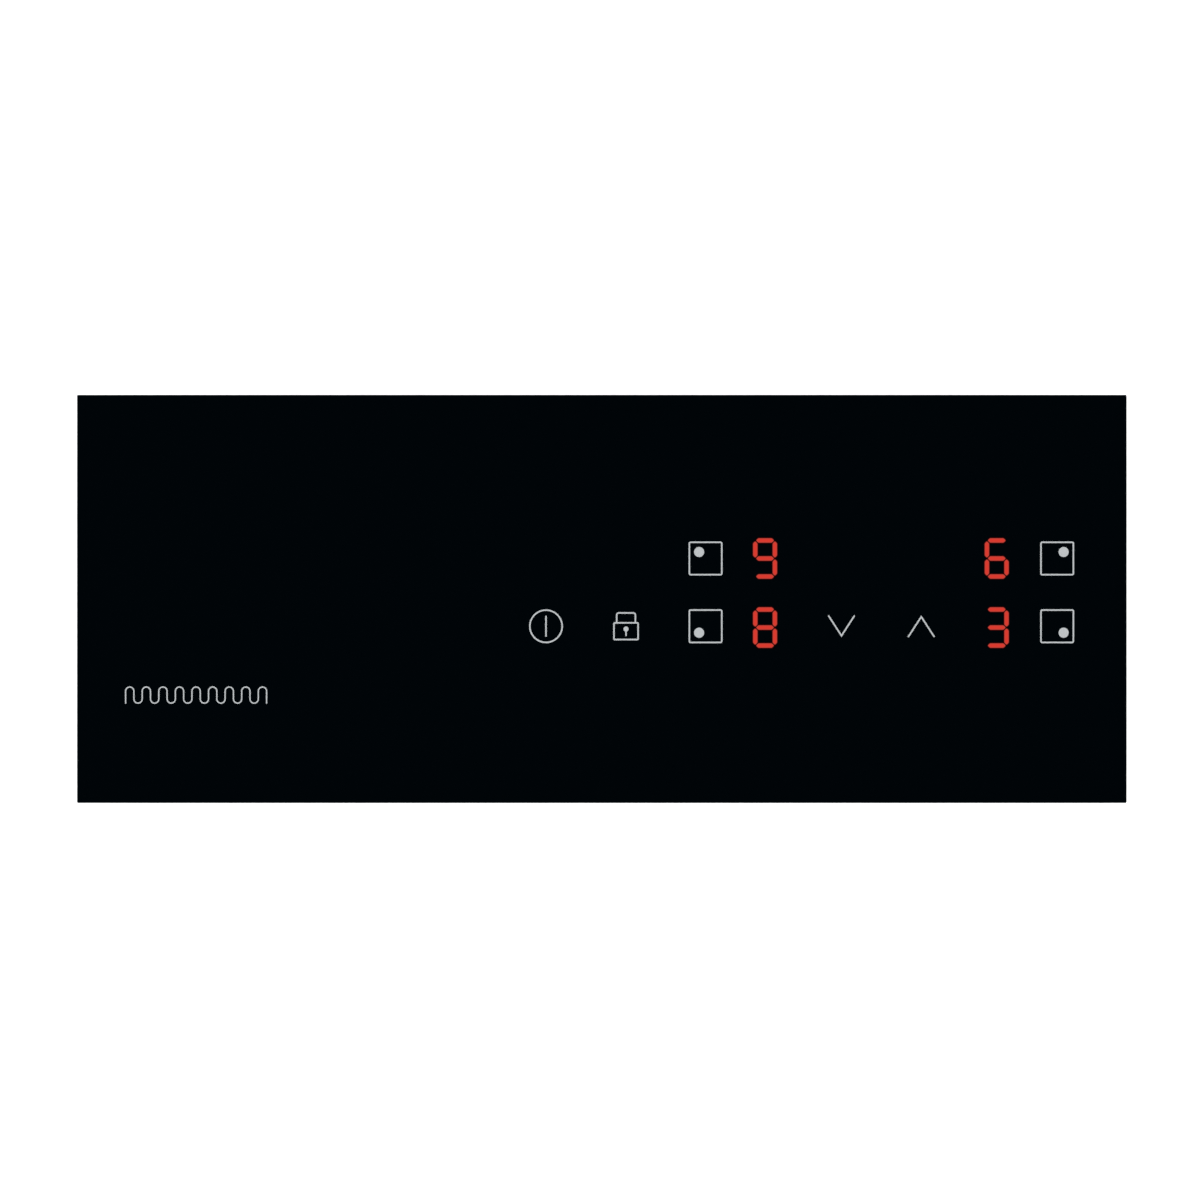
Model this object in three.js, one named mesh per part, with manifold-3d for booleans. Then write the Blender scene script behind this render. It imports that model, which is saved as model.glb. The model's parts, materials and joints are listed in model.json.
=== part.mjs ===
// Slim four-zone electric induction cooktop for building into a worktop.
//
// One black glass plate carries everything. A steel frame is bonded under it, a sheet-steel tub
// is screwed to that frame, and the tub holds four coils on the left, the touch control on the
// right, and two mirrored power modules, each cooled by its own blower, along the middle.
// Units are millimetres. +X is right, +Y is the rear, +Z is up. The origin is under the middle
// of the cooktop, on the plane of the tub's floor.
import * as THREE from "three";
import { mergeVertices } from "three/addons/utils/BufferGeometryUtils.js";
import Module from "manifold-3d";

// ---- Driving dimensions ----

// Glass plate and the worktop cut-out that it covers
const glassWidth = 900;
const glassDepth = 350;
const glassThickness = 4;
const glassCorner = 2;
const glassArris = 0.5;
const glassOverhang = 10;
const buildDepth = 50; // underside of the glass above the bottom of the tub

// Enamel marks fired onto the glass. Their places run from the ends of the touch control.
const printRise = 0.1;
const printLine = 1.8;
const printLink = 0.3; // hairline that joins the shapes of one mark
const keyRow = -23.4;
const rearRow = 34.7;
const levelGroupInset = 172.4; // middle of the level group from the control's right end
const powerKey = { inset: 30, diameter: 29.2, bar: 18.2 };
const lockKey = { inset: 98.6, width: 22.4, body: 16, shackle: 17.7, shackleRise: 8.5 };
const lockCorner = { body: 1.2, shackle: 2.6 };
const keyhole = { radius: 2.3, stem: 6 };
const chevronSize = { halfWidth: 11, height: 17, halfSpacing: 34.2 };
const zoneSquare = { side: 29.5, corner: 2, halfSpacing: 150.7 };
const zoneDot = { radius: 4.7, offset: 5.3 };
const coilMarkSize = { length: 121.9, height: 14.9, turns: 9, insetX: 41.2, insetY: 92.6 };

// Seal, adhesive and mounting frame
const sealInset = 2;
const sealThickness = 2;
const sealToCutout = 1;
const adhesiveThickness = 1;
const adhesiveWidth = 6;
const frameToCutout = 3;
const frameSheet = 1;
const frameLeg = 12;
const frameFlange = 14;
const frameCorner = 5;

// Gaps
const fitGap = 0.3; // between pieces that meet
const runGap = 0.5; // between a screw or pin and the hole that it turns in

// Tub
const tubSheet = 0.8;
const slotWidth = 4;
const slotPitch = 9;
const wallSlotLength = 18;
const wallSlotHeight = 20;
const sideSlotCount = 9;
const rearSlotCount = 11;
const inletSlotCount = 5;
const pillarRadius = 3;
const pillarHeight = 7;

// Coils
const carrierToWall = 10.9;
const carrierRim = 3;
const coilEye = 22;
const coilThickness = 4;
const carrierPlate = 2;
const carrierHole = 9;
const ribCount = 6;
const ribWidth = 10;
const ribHeight = 3;
const pegCount = 3;
const pegRadius = 4;
const coilSpacing = 6;
const coilToWall = 12;
const micaThickness = 0.5;
const coilFieldCorner = 6;
const sensorStem = 6;
const sensorCap = 8;
const sensorFlange = 12;
const traySheet = 1.2;
const trayDrop = 1.6; // free height under the carriers' ribs
const trayEdge = 2;
const screwToTray = 2.5;
const trayLegWidth = 24;
const trayFoot = 10;

// Touch control
const displayHalfSpacing = 99.3;
const digitWidth = 20.6;
const digitHeight = 35.2;
const segmentWidth = 4;
const segmentRise = 0.2;
const segmentGap = 0.8;
const displayBorder = 2.4;
const displayHeight = 8;
const foilThickness = 0.5;
const boardThickness = 1.6;
const controlInset = 38;
const controlToCoils = 47;
const controlRear = 61.5;
const controlCorner = 4;
const controlHoleRadius = 1.8;
const controlHoleInset = 6;
const controlTrayWall = 2;
const controlTrayMargin = 5;
const controlTrayStandoff = 2.5;
const controlTrayRise = 10;
const controlLegRadius = 3.5;
const legsToFan = 5;

// Power modules, mirrored about the middle
const fanCentreX = 110;
const fanSide = 84;
const fanHeight = 25;
const fanWall = 1.6;
const fanInlet = 27;
const fanRotorRadius = 34;
const fanTipGap = 3;
const fanHub = 14;
const fanHubWall = 2;
const fanBoss = 9;
const fanBladeCount = 14;
const fanBladeThickness = 1;
const fanBladeDepth = 9;
const fanBladeTurn = 0.6;
const fanDisc = 1.5;
const fanOutletWidth = 60;
const fanSpindle = 2;
const powerBoardToWall = 55;
const powerBoardWidth = 88;
const powerBoardGap = 8;
const sinkMargin = 6;
const sinkWidth = 46;
const sinkBase = 4;
const sinkFins = 9;
const sinkFin = 1.6;
const capacitorBay = 114; // length of board beyond the heat sink
const capacitor = { length: 42, width: 24, gap: 10 };
const componentToTray = 6.8;

// Mains filter and terminals
const filterBoardLength = 110;
const filterBoardWidth = 50;
const filterToTerminals = 33;
const filterToRear = 52;
const chokeRadius = 18;
const chokeEye = 8;
const chokeHeight = 16;
const chokeInset = 8;
const filterCapacitor = { length: 32, width: 16, inset: 34 };
const terminalLength = 86;
const terminalDepth = 58;
const terminalHeight = 26;
const terminalWall = 2;
const terminalToWall = 16;
const cableHoleRadius = 6.5;
const cableHoleHeight = 12;
const terminalPoles = 5;
const terminalPolePitch = 11;
const terminalBlock = { width: 18, height: 14 };
const blockToMiddle = 3; // the block lies a little in front of the box's middle
const poleRadius = 3;
const lidThickness = 2;
const lidPinRadius = 1.5;
const lidPinHeight = 4.5;
const lidPinInset = 5.3;
const lidEar = 4;
const leadRadius = 1.3;
const leadPitch = 2.3;

// Fixing clamps, each in a pocket of the tub's long walls
const clampToEnd = 175;
const clampLength = 44;
const clampWidth = 14;
const clampSheet = 3;
const clampLip = 2;
const pocketToRim = 17.7;
const pocketMargin = 1.5;
const clampScrewRadius = 2.5;
const clampScrewHead = 4.5;
const clampHeadHeight = 3;
const clampHeadBottom = 1.5;
const clampScrewEnd = 2;

// Holes for the screws that hold the tub in the frame
const housingScrewToEnd = 55;
const housingScrewRadius = 1.9;

// ---- Levels and outlines worked out from them ----

const cutoutWidth = glassWidth - 2 * glassOverhang;
const cutoutDepth = glassDepth - 2 * glassOverhang;
const frameWidth = cutoutWidth - 2 * frameToCutout;
const frameDepth = cutoutDepth - 2 * frameToCutout;
const tubWidth = frameWidth - 2 * (frameSheet + fitGap);
const tubDepth = frameDepth - 2 * (frameSheet + fitGap);
const tubCorner = frameCorner - frameSheet;
const tubInnerX = tubWidth / 2 - tubSheet;
const tubInnerY = tubDepth / 2 - tubSheet;

const glassTop = buildDepth + glassThickness;
const flangeTop = buildDepth - adhesiveThickness;
const tubTop = flangeTop - frameSheet - fitGap;
const floorTop = tubSheet + fitGap; // where pieces that stand on the floor begin

const micaTop = buildDepth - fitGap;
const windingTop = micaTop - micaThickness - fitGap;
const windingBottom = windingTop - coilThickness;
const carrierTop = windingBottom - fitGap;
const carrierBottom = carrierTop - carrierPlate;
const ribBottom = carrierBottom - ribHeight;
const trayTop = ribBottom - trayDrop;
const carrierRadius = (tubInnerY - coilSpacing / 2 - carrierToWall) / 2;
const coilRadius = carrierRadius - carrierRim;
const coilPitch = 2 * carrierRadius + coilSpacing;
const coilLeftX = -tubInnerX + coilToWall + carrierRadius;
const coilPlaces = {
  rear_left: [coilLeftX, coilPitch / 2],
  front_left: [coilLeftX, -coilPitch / 2],
  rear_right: [coilLeftX + coilPitch, coilPitch / 2],
  front_right: [coilLeftX + coilPitch, -coilPitch / 2],
};

const coilSpan = 2 * coilPitch - coilSpacing;
const coilFieldX = coilLeftX + coilPitch / 2;
const componentTop = trayTop - traySheet - componentToTray;

const foilBottom = buildDepth - foilThickness;
const displayTop = foilBottom - fitGap;
const boardTop = displayTop - segmentRise - displayHeight;
const boardBottom = boardTop - boardThickness;
const controlTrayTop = boardBottom - controlTrayStandoff;
const controlTrayBottom = controlTrayTop - controlTrayWall;
const controlLeft = coilFieldX + coilSpan / 2 + controlToCoils;
const controlRight = glassWidth / 2 - controlInset;
const controlLength = controlRight - controlLeft;
const controlCentreX = (controlLeft + controlRight) / 2;
const controlFront = -(fanSide / 2 + legsToFan + controlLegRadius);
const controlWidth = controlRear - controlFront;
const controlCentreY = (controlFront + controlRear) / 2;
const levelGroupX = controlRight - levelGroupInset;

const powerBoardBottom = tubSheet + pillarHeight + fitGap;
const powerBoardTop = powerBoardBottom + boardThickness;
const onPowerBoard = powerBoardTop + fitGap;
const powerBoardInner = fanCentreX + fanSide / 2 + powerBoardGap;
const powerBoardLength = tubInnerX - powerBoardToWall - powerBoardInner;
const powerBoardX = powerBoardInner + powerBoardLength / 2;
const sinkLength = powerBoardLength - capacitorBay - sinkMargin;

const terminalX = tubInnerX - terminalToWall - terminalLength / 2;
const terminalY = tubInnerY - fitGap - terminalDepth / 2;
const terminalTop = floorTop + terminalHeight;
const filterCentre = {
  x: terminalX - terminalLength / 2 - filterToTerminals - filterBoardLength / 2,
  y: tubInnerY - filterToRear,
};
const lidPinY = terminalY - terminalDepth / 2 + terminalWall + lidPinInset;

const clampX = tubInnerX - clampToEnd;
const housingScrewX = tubInnerX - housingScrewToEnd;
const housingScrewZ = flangeTop - frameLeg / 2 - frameSheet;
const pocketHeight = tubTop - pocketToRim;
const clampPivotY = tubDepth / 2 - clampWidth / 2 - pocketMargin;
const pocketDepth = clampWidth + 2 * pocketMargin;
const pocketLength = clampLength + clampWidth / 2 + 2 * pocketMargin;
const clampBottom = clampHeadBottom + clampHeadHeight + fitGap;

// ---- Materials ----

const material = (color, roughness, metalness) =>
  new THREE.MeshStandardMaterial({ color, roughness, metalness });
const blackGlass = material(0x010508, 0.05, 0);
const enamel = material(0xb4b8bb, 0.5, 0);
const galvanisedSteel = material(0xa9adb0, 0.42, 1);
const paintedSteel = material(0x1b1c1e, 0.5, 0);
const zincScrew = material(0xc6c8c9, 0.3, 1);
const aluminium = material(0xb9bcc0, 0.4, 1);
const foam = material(0x17181a, 0.95, 0);
const silicone = material(0x222426, 0.6, 0);
const blackPlastic = material(0x1d1e20, 0.55, 0);
const greyPlastic = material(0x6e7377, 0.6, 0);
const circuitBoard = material(0x1f5a38, 0.5, 0);
const displayEpoxy = material(0xc02a20, 0.4, 0);
const copper = material(0xb66a3c, 0.35, 1);
const mica = material(0xb9b09a, 0.6, 0);
const sensorWhite = material(0xe6e4de, 0.6, 0);
const touchFoil = material(0x2b2f33, 0.4, 0);

// ---- Geometry helpers ----

const wasm = await Module();
wasm.setup();

// A closed geometry as a solid that can be joined and cut.
function toSolid(geometry) {
  const bare = geometry.clone();
  bare.deleteAttribute("normal");
  bare.deleteAttribute("uv");
  const merged = mergeVertices(bare, 1e-4);
  return new wasm.Manifold(
    new wasm.Mesh({
      numProp: 3,
      vertProperties: merged.attributes.position.array,
      triVerts: new Uint32Array(merged.index.array),
    }),
  );
}

// A base geometry with others joined to it, and then others cut from it.
function shaped(base, { join = [], cut = [] }) {
  let solid = toSolid(base);
  for (const piece of join) solid = solid.add(toSolid(piece));
  for (const piece of cut) solid = solid.subtract(toSolid(piece));
  const mesh = solid.getMesh();
  return new THREE.BufferGeometry()
    .setAttribute("position", new THREE.BufferAttribute(mesh.vertProperties, 3))
    .setIndex(new THREE.BufferAttribute(mesh.triVerts, 1));
}

function roundedRectangle(width, depth, corner, x = 0, y = 0) {
  const [w, d] = [width / 2, depth / 2];
  const outline = new THREE.Shape();
  outline.moveTo(x - w + corner, y - d);
  outline.lineTo(x + w - corner, y - d);
  outline.absarc(x + w - corner, y - d + corner, corner, -Math.PI / 2, 0);
  outline.lineTo(x + w, y + d - corner);
  outline.absarc(x + w - corner, y + d - corner, corner, 0, Math.PI / 2);
  outline.lineTo(x - w + corner, y + d);
  outline.absarc(x - w + corner, y + d - corner, corner, Math.PI / 2, Math.PI);
  outline.lineTo(x - w, y - d + corner);
  outline.absarc(x - w + corner, y - d + corner, corner, Math.PI, 1.5 * Math.PI);
  return outline;
}

function withHoles(outline, ...holes) {
  outline.holes.push(...holes);
  return outline;
}

function circle(radius, x = 0, y = 0) {
  return new THREE.Shape().absarc(x, y, radius, 0, 2 * Math.PI);
}

// A slot with round ends, lying along Y.
function stadium(width, length, x, y) {
  const [radius, reach] = [width / 2, (length - width) / 2];
  const outline = new THREE.Shape().absarc(x, y + reach, radius, 0, Math.PI);
  return outline.absarc(x, y - reach, radius, Math.PI, 2 * Math.PI);
}

// An outline drawn in plan, thickened from one level to another.
function slab(outline, bottom, top, curveSegments = 2) {
  const settings = { depth: top - bottom, bevelEnabled: false, curveSegments };
  return new THREE.ExtrudeGeometry(outline, settings).translate(0, 0, bottom);
}

// A box from its middle in plan, its two plan sizes and its two levels.
function block(x, y, width, depth, bottom, top) {
  const box = new THREE.BoxGeometry(width, depth, top - bottom);
  return box.translate(x, y, (bottom + top) / 2);
}

// An upright round bar.
function rod(x, y, radius, bottom, top, sides = 12) {
  const bar = new THREE.CylinderGeometry(radius, radius, top - bottom, sides);
  return bar.rotateX(Math.PI / 2).translate(x, y, (bottom + top) / 2);
}

// A round bar lying along X or Y, centred on a point.
function rodAlong(axis, radius, length, x, y, z, sides = 12) {
  const bar = new THREE.CylinderGeometry(radius, radius, length, sides);
  if (axis === "x") bar.rotateZ(Math.PI / 2);
  return bar.translate(x, y, z);
}

// A solid of revolution about Z from [radius, level] points that run up its outside.
function turned(profile, sides) {
  const points = profile.map(([radius, level]) => new THREE.Vector2(radius, level));
  return new THREE.LatheGeometry(points, sides).rotateX(Math.PI / 2);
}

const cooktop = new THREE.Group();

function place(parent, name, geometry, look, x = 0, y = 0, z = 0) {
  const mesh = new THREE.Mesh(geometry, look);
  mesh.name = name;
  mesh.position.set(x, y, z);
  parent.add(mesh);
  return mesh;
}

function groupAt(x, y, z = 0) {
  const group = new THREE.Group();
  group.position.set(x, y, z);
  cooktop.add(group);
  return group;
}

// ---- Glass plate, adhesive, seal and frame ----

// A closed loop of constant section, given the size of its outer edge and its width.
function loop(width, depth, corner, band, bottom, top, x = 0, y = 0) {
  const innerCorner = Math.max(corner - band, 0.5);
  const opening = roundedRectangle(width - 2 * band, depth - 2 * band, innerCorner, x, y);
  return slab(withHoles(roundedRectangle(width, depth, corner, x, y), opening), bottom, top);
}

const markTop = glassTop + printRise;
const mark = (outline, curveSegments) => slab(outline, glassTop, markTop, curveSegments);

function markBlock(x, y, width, depth) {
  return block(x, y, width, depth, glassTop, markTop);
}

// A thin ring with an upright bar inside it.
function powerMark() {
  const radius = powerKey.diameter / 2;
  const ring = withHoles(circle(radius), circle(radius - printLine));
  const bar = markBlock(0, 0, printLine, powerKey.bar);
  const link = markBlock(0, -radius / 2, printLink, radius - printLine);
  return shaped(mark(ring, 12), { join: [bar, link] });
}

// A padlock: body, square shackle whose foot lies on the body's upper line, and keyhole.
function lockMark() {
  const { width, body, shackle, shackleRise } = lockKey;
  const bodyY = -shackleRise / 2;
  const shackleY = bodyY + (body - printLine + shackleRise) / 2;
  const bowHeight = shackleRise + printLine;
  const bow = loop(shackle, bowHeight, lockCorner.shackle, printLine, glassTop, markTop, 0, shackleY);
  const holeY = bodyY + keyhole.stem / 3;
  const hole = rod(0, holeY, keyhole.radius, glassTop, markTop);
  const stem = markBlock(0, holeY - keyhole.stem / 2, printLine, keyhole.stem);
  const link = markBlock(0, bodyY - body / 4, printLink, body / 2 - printLine / 2);
  const outline = loop(width, body, lockCorner.body, printLine, glassTop, markTop, 0, bodyY);
  return shaped(outline, { join: [bow, hole, stem, link] });
}

// Two strokes that meet in a point, upwards for 1 and downwards for -1.
function chevronMark(direction) {
  const { halfWidth, height } = chevronSize;
  const stroke = Math.hypot(halfWidth, height);
  const mitre = (printLine * stroke) / (2 * halfWidth);
  const across = [(printLine * height) / (2 * stroke), (printLine * halfWidth) / (2 * stroke)];
  const outline = new THREE.Shape();
  outline.moveTo(0, direction * (height / 2 + mitre));
  outline.lineTo(-halfWidth - across[0], direction * (-height / 2 + across[1]));
  outline.lineTo(-halfWidth + across[0], direction * (-height / 2 - across[1]));
  outline.lineTo(0, direction * (height / 2 - mitre));
  outline.lineTo(halfWidth - across[0], direction * (-height / 2 - across[1]));
  outline.lineTo(halfWidth + across[0], direction * (-height / 2 + across[1]));
  return mark(outline);
}

// A square for the hob, with a dot towards the corner where the zone lies.
function zoneMark(end, row) {
  const { side, corner } = zoneSquare;
  const [x, y] = [end * zoneDot.offset, row * zoneDot.offset];
  const dot = rod(x, y, zoneDot.radius, glassTop, markTop, 14);
  const reach = side / 2 - printLine / 2 - zoneDot.offset;
  const link = markBlock(x + end * (reach / 2), y, reach, printLink);
  return shaped(loop(side, side, corner, printLine, glassTop, markTop), { join: [dot, link] });
}

// The circuit symbol of a coil: one line that runs up and down in round turns.
function coilMark() {
  const { length, height, turns } = coilMarkSize;
  const gaps = 2 * turns - 1;
  const [half, radius] = [printLine / 2, (length - printLine) / gaps / 2];
  const level = height / 2 - half - radius;
  const outline = new THREE.Shape().moveTo(-half, -height / 2);
  const turn = (i, side) => {
    const over = i % 2 === 0;
    const bend = radius + (over ? side : -side) * half;
    const [from, to] = side > 0 ? [Math.PI, over ? 0 : 2 * Math.PI] : [over ? 0 : 2 * Math.PI, Math.PI];
    outline.absarc((2 * i + 1) * radius, over ? level : -level, bend, from, to, over === side > 0);
  };
  for (let i = 0; i < gaps; i++) turn(i, 1);
  const right = gaps * 2 * radius;
  outline.lineTo(right + half, -height / 2);
  outline.lineTo(right - half, -height / 2);
  for (let i = gaps - 1; i >= 0; i--) turn(i, -1);
  outline.lineTo(half, -height / 2);
  return mark(outline, 2);
}

function addMarks() {
  const { halfSpacing } = chevronSize;
  place(cooktop, "power_key_mark", powerMark(), enamel, controlLeft + powerKey.inset, keyRow);
  place(cooktop, "lock_key_mark", lockMark(), enamel, controlLeft + lockKey.inset, keyRow);
  place(cooktop, "level_down_key_mark", chevronMark(-1), enamel, levelGroupX - halfSpacing, keyRow);
  place(cooktop, "level_up_key_mark", chevronMark(1), enamel, levelGroupX + halfSpacing, keyRow);
  for (const [row, y, rearward] of [["rear", rearRow, 1], ["front", keyRow, -1]])
    for (const [end, outward] of [["left", -1], ["right", 1]]) {
      const x = levelGroupX + outward * zoneSquare.halfSpacing;
      place(cooktop, `zone_key_mark_${row}_${end}`, zoneMark(outward, rearward), enamel, x, y);
    }
  const coilMarkX = -glassWidth / 2 + coilMarkSize.insetX + printLine / 2;
  place(cooktop, "coil_mark", coilMark(), enamel, coilMarkX, -glassDepth / 2 + coilMarkSize.insetY);
}

// Toughened black glass with a fine ground arris round both faces.
function glassPlate() {
  const outline = roundedRectangle(glassWidth, glassDepth, glassCorner);
  const settings = {
    depth: glassThickness - 2 * glassArris,
    bevelThickness: glassArris,
    bevelSize: glassArris,
    bevelOffset: -glassArris,
    bevelSegments: 1,
    curveSegments: 3,
  };
  return new THREE.ExtrudeGeometry(outline, settings).translate(0, 0, buildDepth + glassArris);
}

function worktopSeal() {
  const [width, depth] = [glassWidth - 2 * sealInset, glassDepth - 2 * sealInset];
  const band = glassOverhang - sealInset - sealToCutout;
  return loop(width, depth, glassCorner, band, buildDepth - sealThickness, buildDepth);
}

function glassAdhesive() {
  const inset = (frameFlange - adhesiveWidth) / 2;
  const [width, depth] = [frameWidth - 2 * inset, frameDepth - 2 * inset];
  return loop(width, depth, frameCorner, adhesiveWidth, flangeTop, buildDepth);
}

// An angle section: the leg goes down outside the tub, the flange runs in under the glass.
function mountingFrame() {
  const leg = loop(frameWidth, frameDepth, frameCorner, frameSheet, flangeTop - frameLeg, flangeTop);
  const flange = loop(
    frameWidth, frameDepth, frameCorner, frameFlange, flangeTop - frameSheet, flangeTop,
  );
  const holes = housingScrewPlaces().map(({ x, side }) =>
    rodAlong("y", housingScrewRadius + runGap, 4 * frameSheet, x, (side * frameDepth) / 2, housingScrewZ),
  );
  return shaped(leg, { join: [flange], cut: holes });
}

// Screws go through these places of the frame's leg into the tub.
function housingScrewPlaces() {
  return [-1, 1].flatMap((side) => [-housingScrewX, housingScrewX].map((x) => ({ x, side })));
}

// ---- Tub ----

// A rounded slot through an upright wall that faces "x" or "y".
function wallSlot(facing, x, y) {
  const slot = slab(stadium(slotWidth, wallSlotLength, 0, 0), -4 * tubSheet, 4 * tubSheet);
  slot.rotateX(Math.PI / 2);
  if (facing === "x") slot.rotateZ(Math.PI / 2);
  return slot.translate(x, y, wallSlotHeight);
}

// The offsets of a row of slots from its middle.
function slotOffsets(count) {
  return Array.from({ length: count }, (_, i) => (i - (count - 1) / 2) * slotPitch);
}

// Parallel slots in the floor, clipped to the circle of a blower's inlet.
function inletGrille(x, y) {
  const reach = fanInlet - 1;
  return slotOffsets(inletSlotCount).map((offset) => {
    const length = 2 * Math.sqrt(reach * reach - offset * offset);
    return slab(stadium(slotWidth, length, x + offset, y), -tubSheet, 2 * tubSheet);
  });
}

function clampPlaces() {
  const places = [];
  for (const [row, side] of [["front", -1], ["rear", 1]])
    for (const [end, x] of [["left", -clampX], ["right", clampX]])
      places.push({ name: `${row}_${end}`, x, y: side * clampPivotY, side });
  return places;
}

// Where a pocket runs in X, measured from its clamp's pivot.
const pocketStart = -clampWidth / 2 - pocketMargin;

function bottomTub() {
  const shell = slab(roundedRectangle(tubWidth, tubDepth, tubCorner), 0, tubTop);
  const hollow = slab(
    roundedRectangle(2 * tubInnerX, 2 * tubInnerY, tubCorner - tubSheet), tubSheet, tubTop + 1,
  );
  const body = shaped(shell, { cut: [hollow] });

  const join = [];
  const cut = [];
  for (const { x, side } of clampPlaces()) {
    const middleX = x + pocketStart + pocketLength / 2;
    const middleY = side * (tubDepth / 2 - pocketDepth / 2);
    const walls = 2 * tubSheet;
    join.push(
      block(middleX, middleY - (side * tubSheet) / 2, pocketLength + walls, pocketDepth + tubSheet - 0.1,
        0, pocketHeight + tubSheet),
    );
    cut.push(block(middleX, middleY + side, pocketLength, pocketDepth + 2, -1, pocketHeight));
    cut.push(
      rod(x, side * clampPivotY, clampScrewRadius + runGap, pocketHeight - 1, pocketHeight + 2),
    );
  }
  for (const { x, y } of pillarPlaces())
    join.push(rod(x, y, pillarRadius, tubSheet / 2, tubSheet + pillarHeight, 6));
  for (const { x, side } of housingScrewPlaces())
    cut.push(
      rodAlong("y", housingScrewRadius + runGap, 4 * tubSheet, x, side * (tubDepth / 2), housingScrewZ),
    );

  for (const side of [-1, 1]) {
    cut.push(...inletGrille(side * fanCentreX, 0));
    for (const y of slotOffsets(sideSlotCount)) cut.push(wallSlot("x", side * (tubWidth / 2), y));
  }
  for (const x of slotOffsets(rearSlotCount)) cut.push(wallSlot("y", x, tubDepth / 2));
  const opening = [terminalLength - 2 * terminalWall, terminalDepth - 2 * terminalWall];
  cut.push(block(terminalX, terminalY, opening[0], opening[1], -1, 2 * tubSheet));
  cut.push(rodAlong("y", cableHoleRadius, 6 * tubSheet, terminalX, tubDepth / 2, cableHoleHeight, 16));
  return shaped(body, { join, cut });
}

// Pressed pillars under the corners of the power boards and the filter board.
function pillarPlaces() {
  const places = [];
  const inset = 2 * pillarRadius;
  const corners = (x, y, length, width) => {
    for (const dx of [-1, 1])
      for (const dy of [-1, 1])
        places.push({ x: x + dx * (length / 2 - inset), y: y + dy * (width / 2 - inset) });
  };
  for (const side of [-1, 1]) corners(side * powerBoardX, 0, powerBoardLength, powerBoardWidth);
  corners(filterCentre.x, filterCentre.y, filterBoardLength, filterBoardWidth);
  return places;
}

// ---- Coils ----

// Flat pancake of stranded copper wire.
function coilWinding() {
  const profile = [
    [coilEye, windingBottom],
    [coilRadius, windingBottom],
    [coilRadius, windingTop],
    [coilEye, windingTop],
    [coilEye, windingBottom],
  ];
  return turned(profile, 26);
}

// Plastic disc with a hub hole, ribs that hold the ferrites, and pegs that stand on the tray.
function coilCarrier() {
  const disc = withHoles(circle(carrierRadius), circle(carrierHole));
  const plate = slab(disc, carrierBottom, carrierTop, 14);
  const join = [];
  const ribLength = coilRadius - coilEye;
  for (let i = 0; i < ribCount; i++) {
    const rib = block((coilEye + coilRadius) / 2, 0, ribLength, ribWidth, ribBottom, carrierBottom + 1);
    join.push(rib.rotateZ((i / ribCount) * 2 * Math.PI));
  }
  for (let i = 0; i < pegCount; i++) {
    const angle = ((i + 0.25) / pegCount) * 2 * Math.PI;
    const reach = coilRadius - 2 * pegRadius;
    const [x, y] = [reach * Math.cos(angle), reach * Math.sin(angle)];
    join.push(rod(x, y, pegRadius, trayTop + fitGap, carrierBottom + 1, 8));
  }
  return shaped(plate, { join });
}

// Thermistor in a stepped ceramic holder, pressed up against the glass through the coil's eye.
function temperatureSensor() {
  const profile = [
    [0, ribBottom],
    [sensorStem, ribBottom],
    [sensorStem, windingBottom],
    [sensorFlange, windingBottom],
    [sensorFlange, windingBottom + 1],
    [sensorCap, windingBottom + 1],
    [sensorCap, micaTop],
    [0, micaTop],
  ];
  return turned(profile, 12);
}

function coilHoles(radius) {
  return Object.values(coilPlaces).map(([x, y]) => circle(radius, x, y));
}

function micaSheet() {
  const outline = roundedRectangle(coilSpan, coilSpan, coilFieldCorner, coilFieldX, 0);
  return slab(withHoles(outline, ...coilHoles(sensorFlange)), micaTop - micaThickness, micaTop, 6);
}

// Aluminium sheet under all four coils, on four folded legs.
function coilTray() {
  const [width, depth] = [coilSpan + 2 * trayEdge, 2 * (clampPivotY - clampScrewRadius - screwToTray)];
  const outline = roundedRectangle(width, depth, coilFieldCorner, coilFieldX, 0);
  const holes = coilHoles(2 * sensorStem);
  const plate = slab(withHoles(outline, ...holes), trayTop - traySheet, trayTop, 6);
  const join = [];
  for (const side of [-1, 1])
    for (const y of [-coilPitch / 2 - coilSpacing, coilPitch / 2 + coilSpacing]) {
      const edge = coilFieldX + side * (width / 2 - traySheet / 2);
      join.push(block(edge, y, traySheet, trayLegWidth, floorTop, trayTop - traySheet / 2));
      const foot = edge - side * (trayFoot / 2 - traySheet / 2);
      join.push(block(foot, y, trayFoot, trayLegWidth, floorTop, floorTop + traySheet));
    }
  return shaped(plate, { join });
}

function addCoils() {
  const [winding, carrier, sensor] = [coilWinding(), coilCarrier(), temperatureSensor()];
  for (const [zone, [x, y]] of Object.entries(coilPlaces)) {
    const unit = groupAt(x, y);
    place(unit, `coil_winding_${zone}`, winding, copper);
    place(unit, `coil_carrier_${zone}`, carrier, greyPlastic);
    place(unit, `temperature_sensor_${zone}`, sensor, sensorWhite);
  }
  place(cooktop, "mica_sheet", micaSheet(), mica);
  place(cooktop, "coil_tray", coilTray(), aluminium);
}

// ---- Touch control ----

// The seven bars of one digit, as [x, y, length, upright] from the digit's middle.
function segmentPlaces() {
  const [armX, armY] = [(digitWidth - segmentWidth) / 2, (digitHeight - segmentWidth) / 2];
  const places = [];
  for (const y of [-armY, 0, armY]) places.push([0, y, 2 * armX, false]);
  for (const x of [-armX, armX])
    for (const y of [-armY / 2, armY / 2]) places.push([x, y, armY, true]);
  return places;
}

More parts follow.
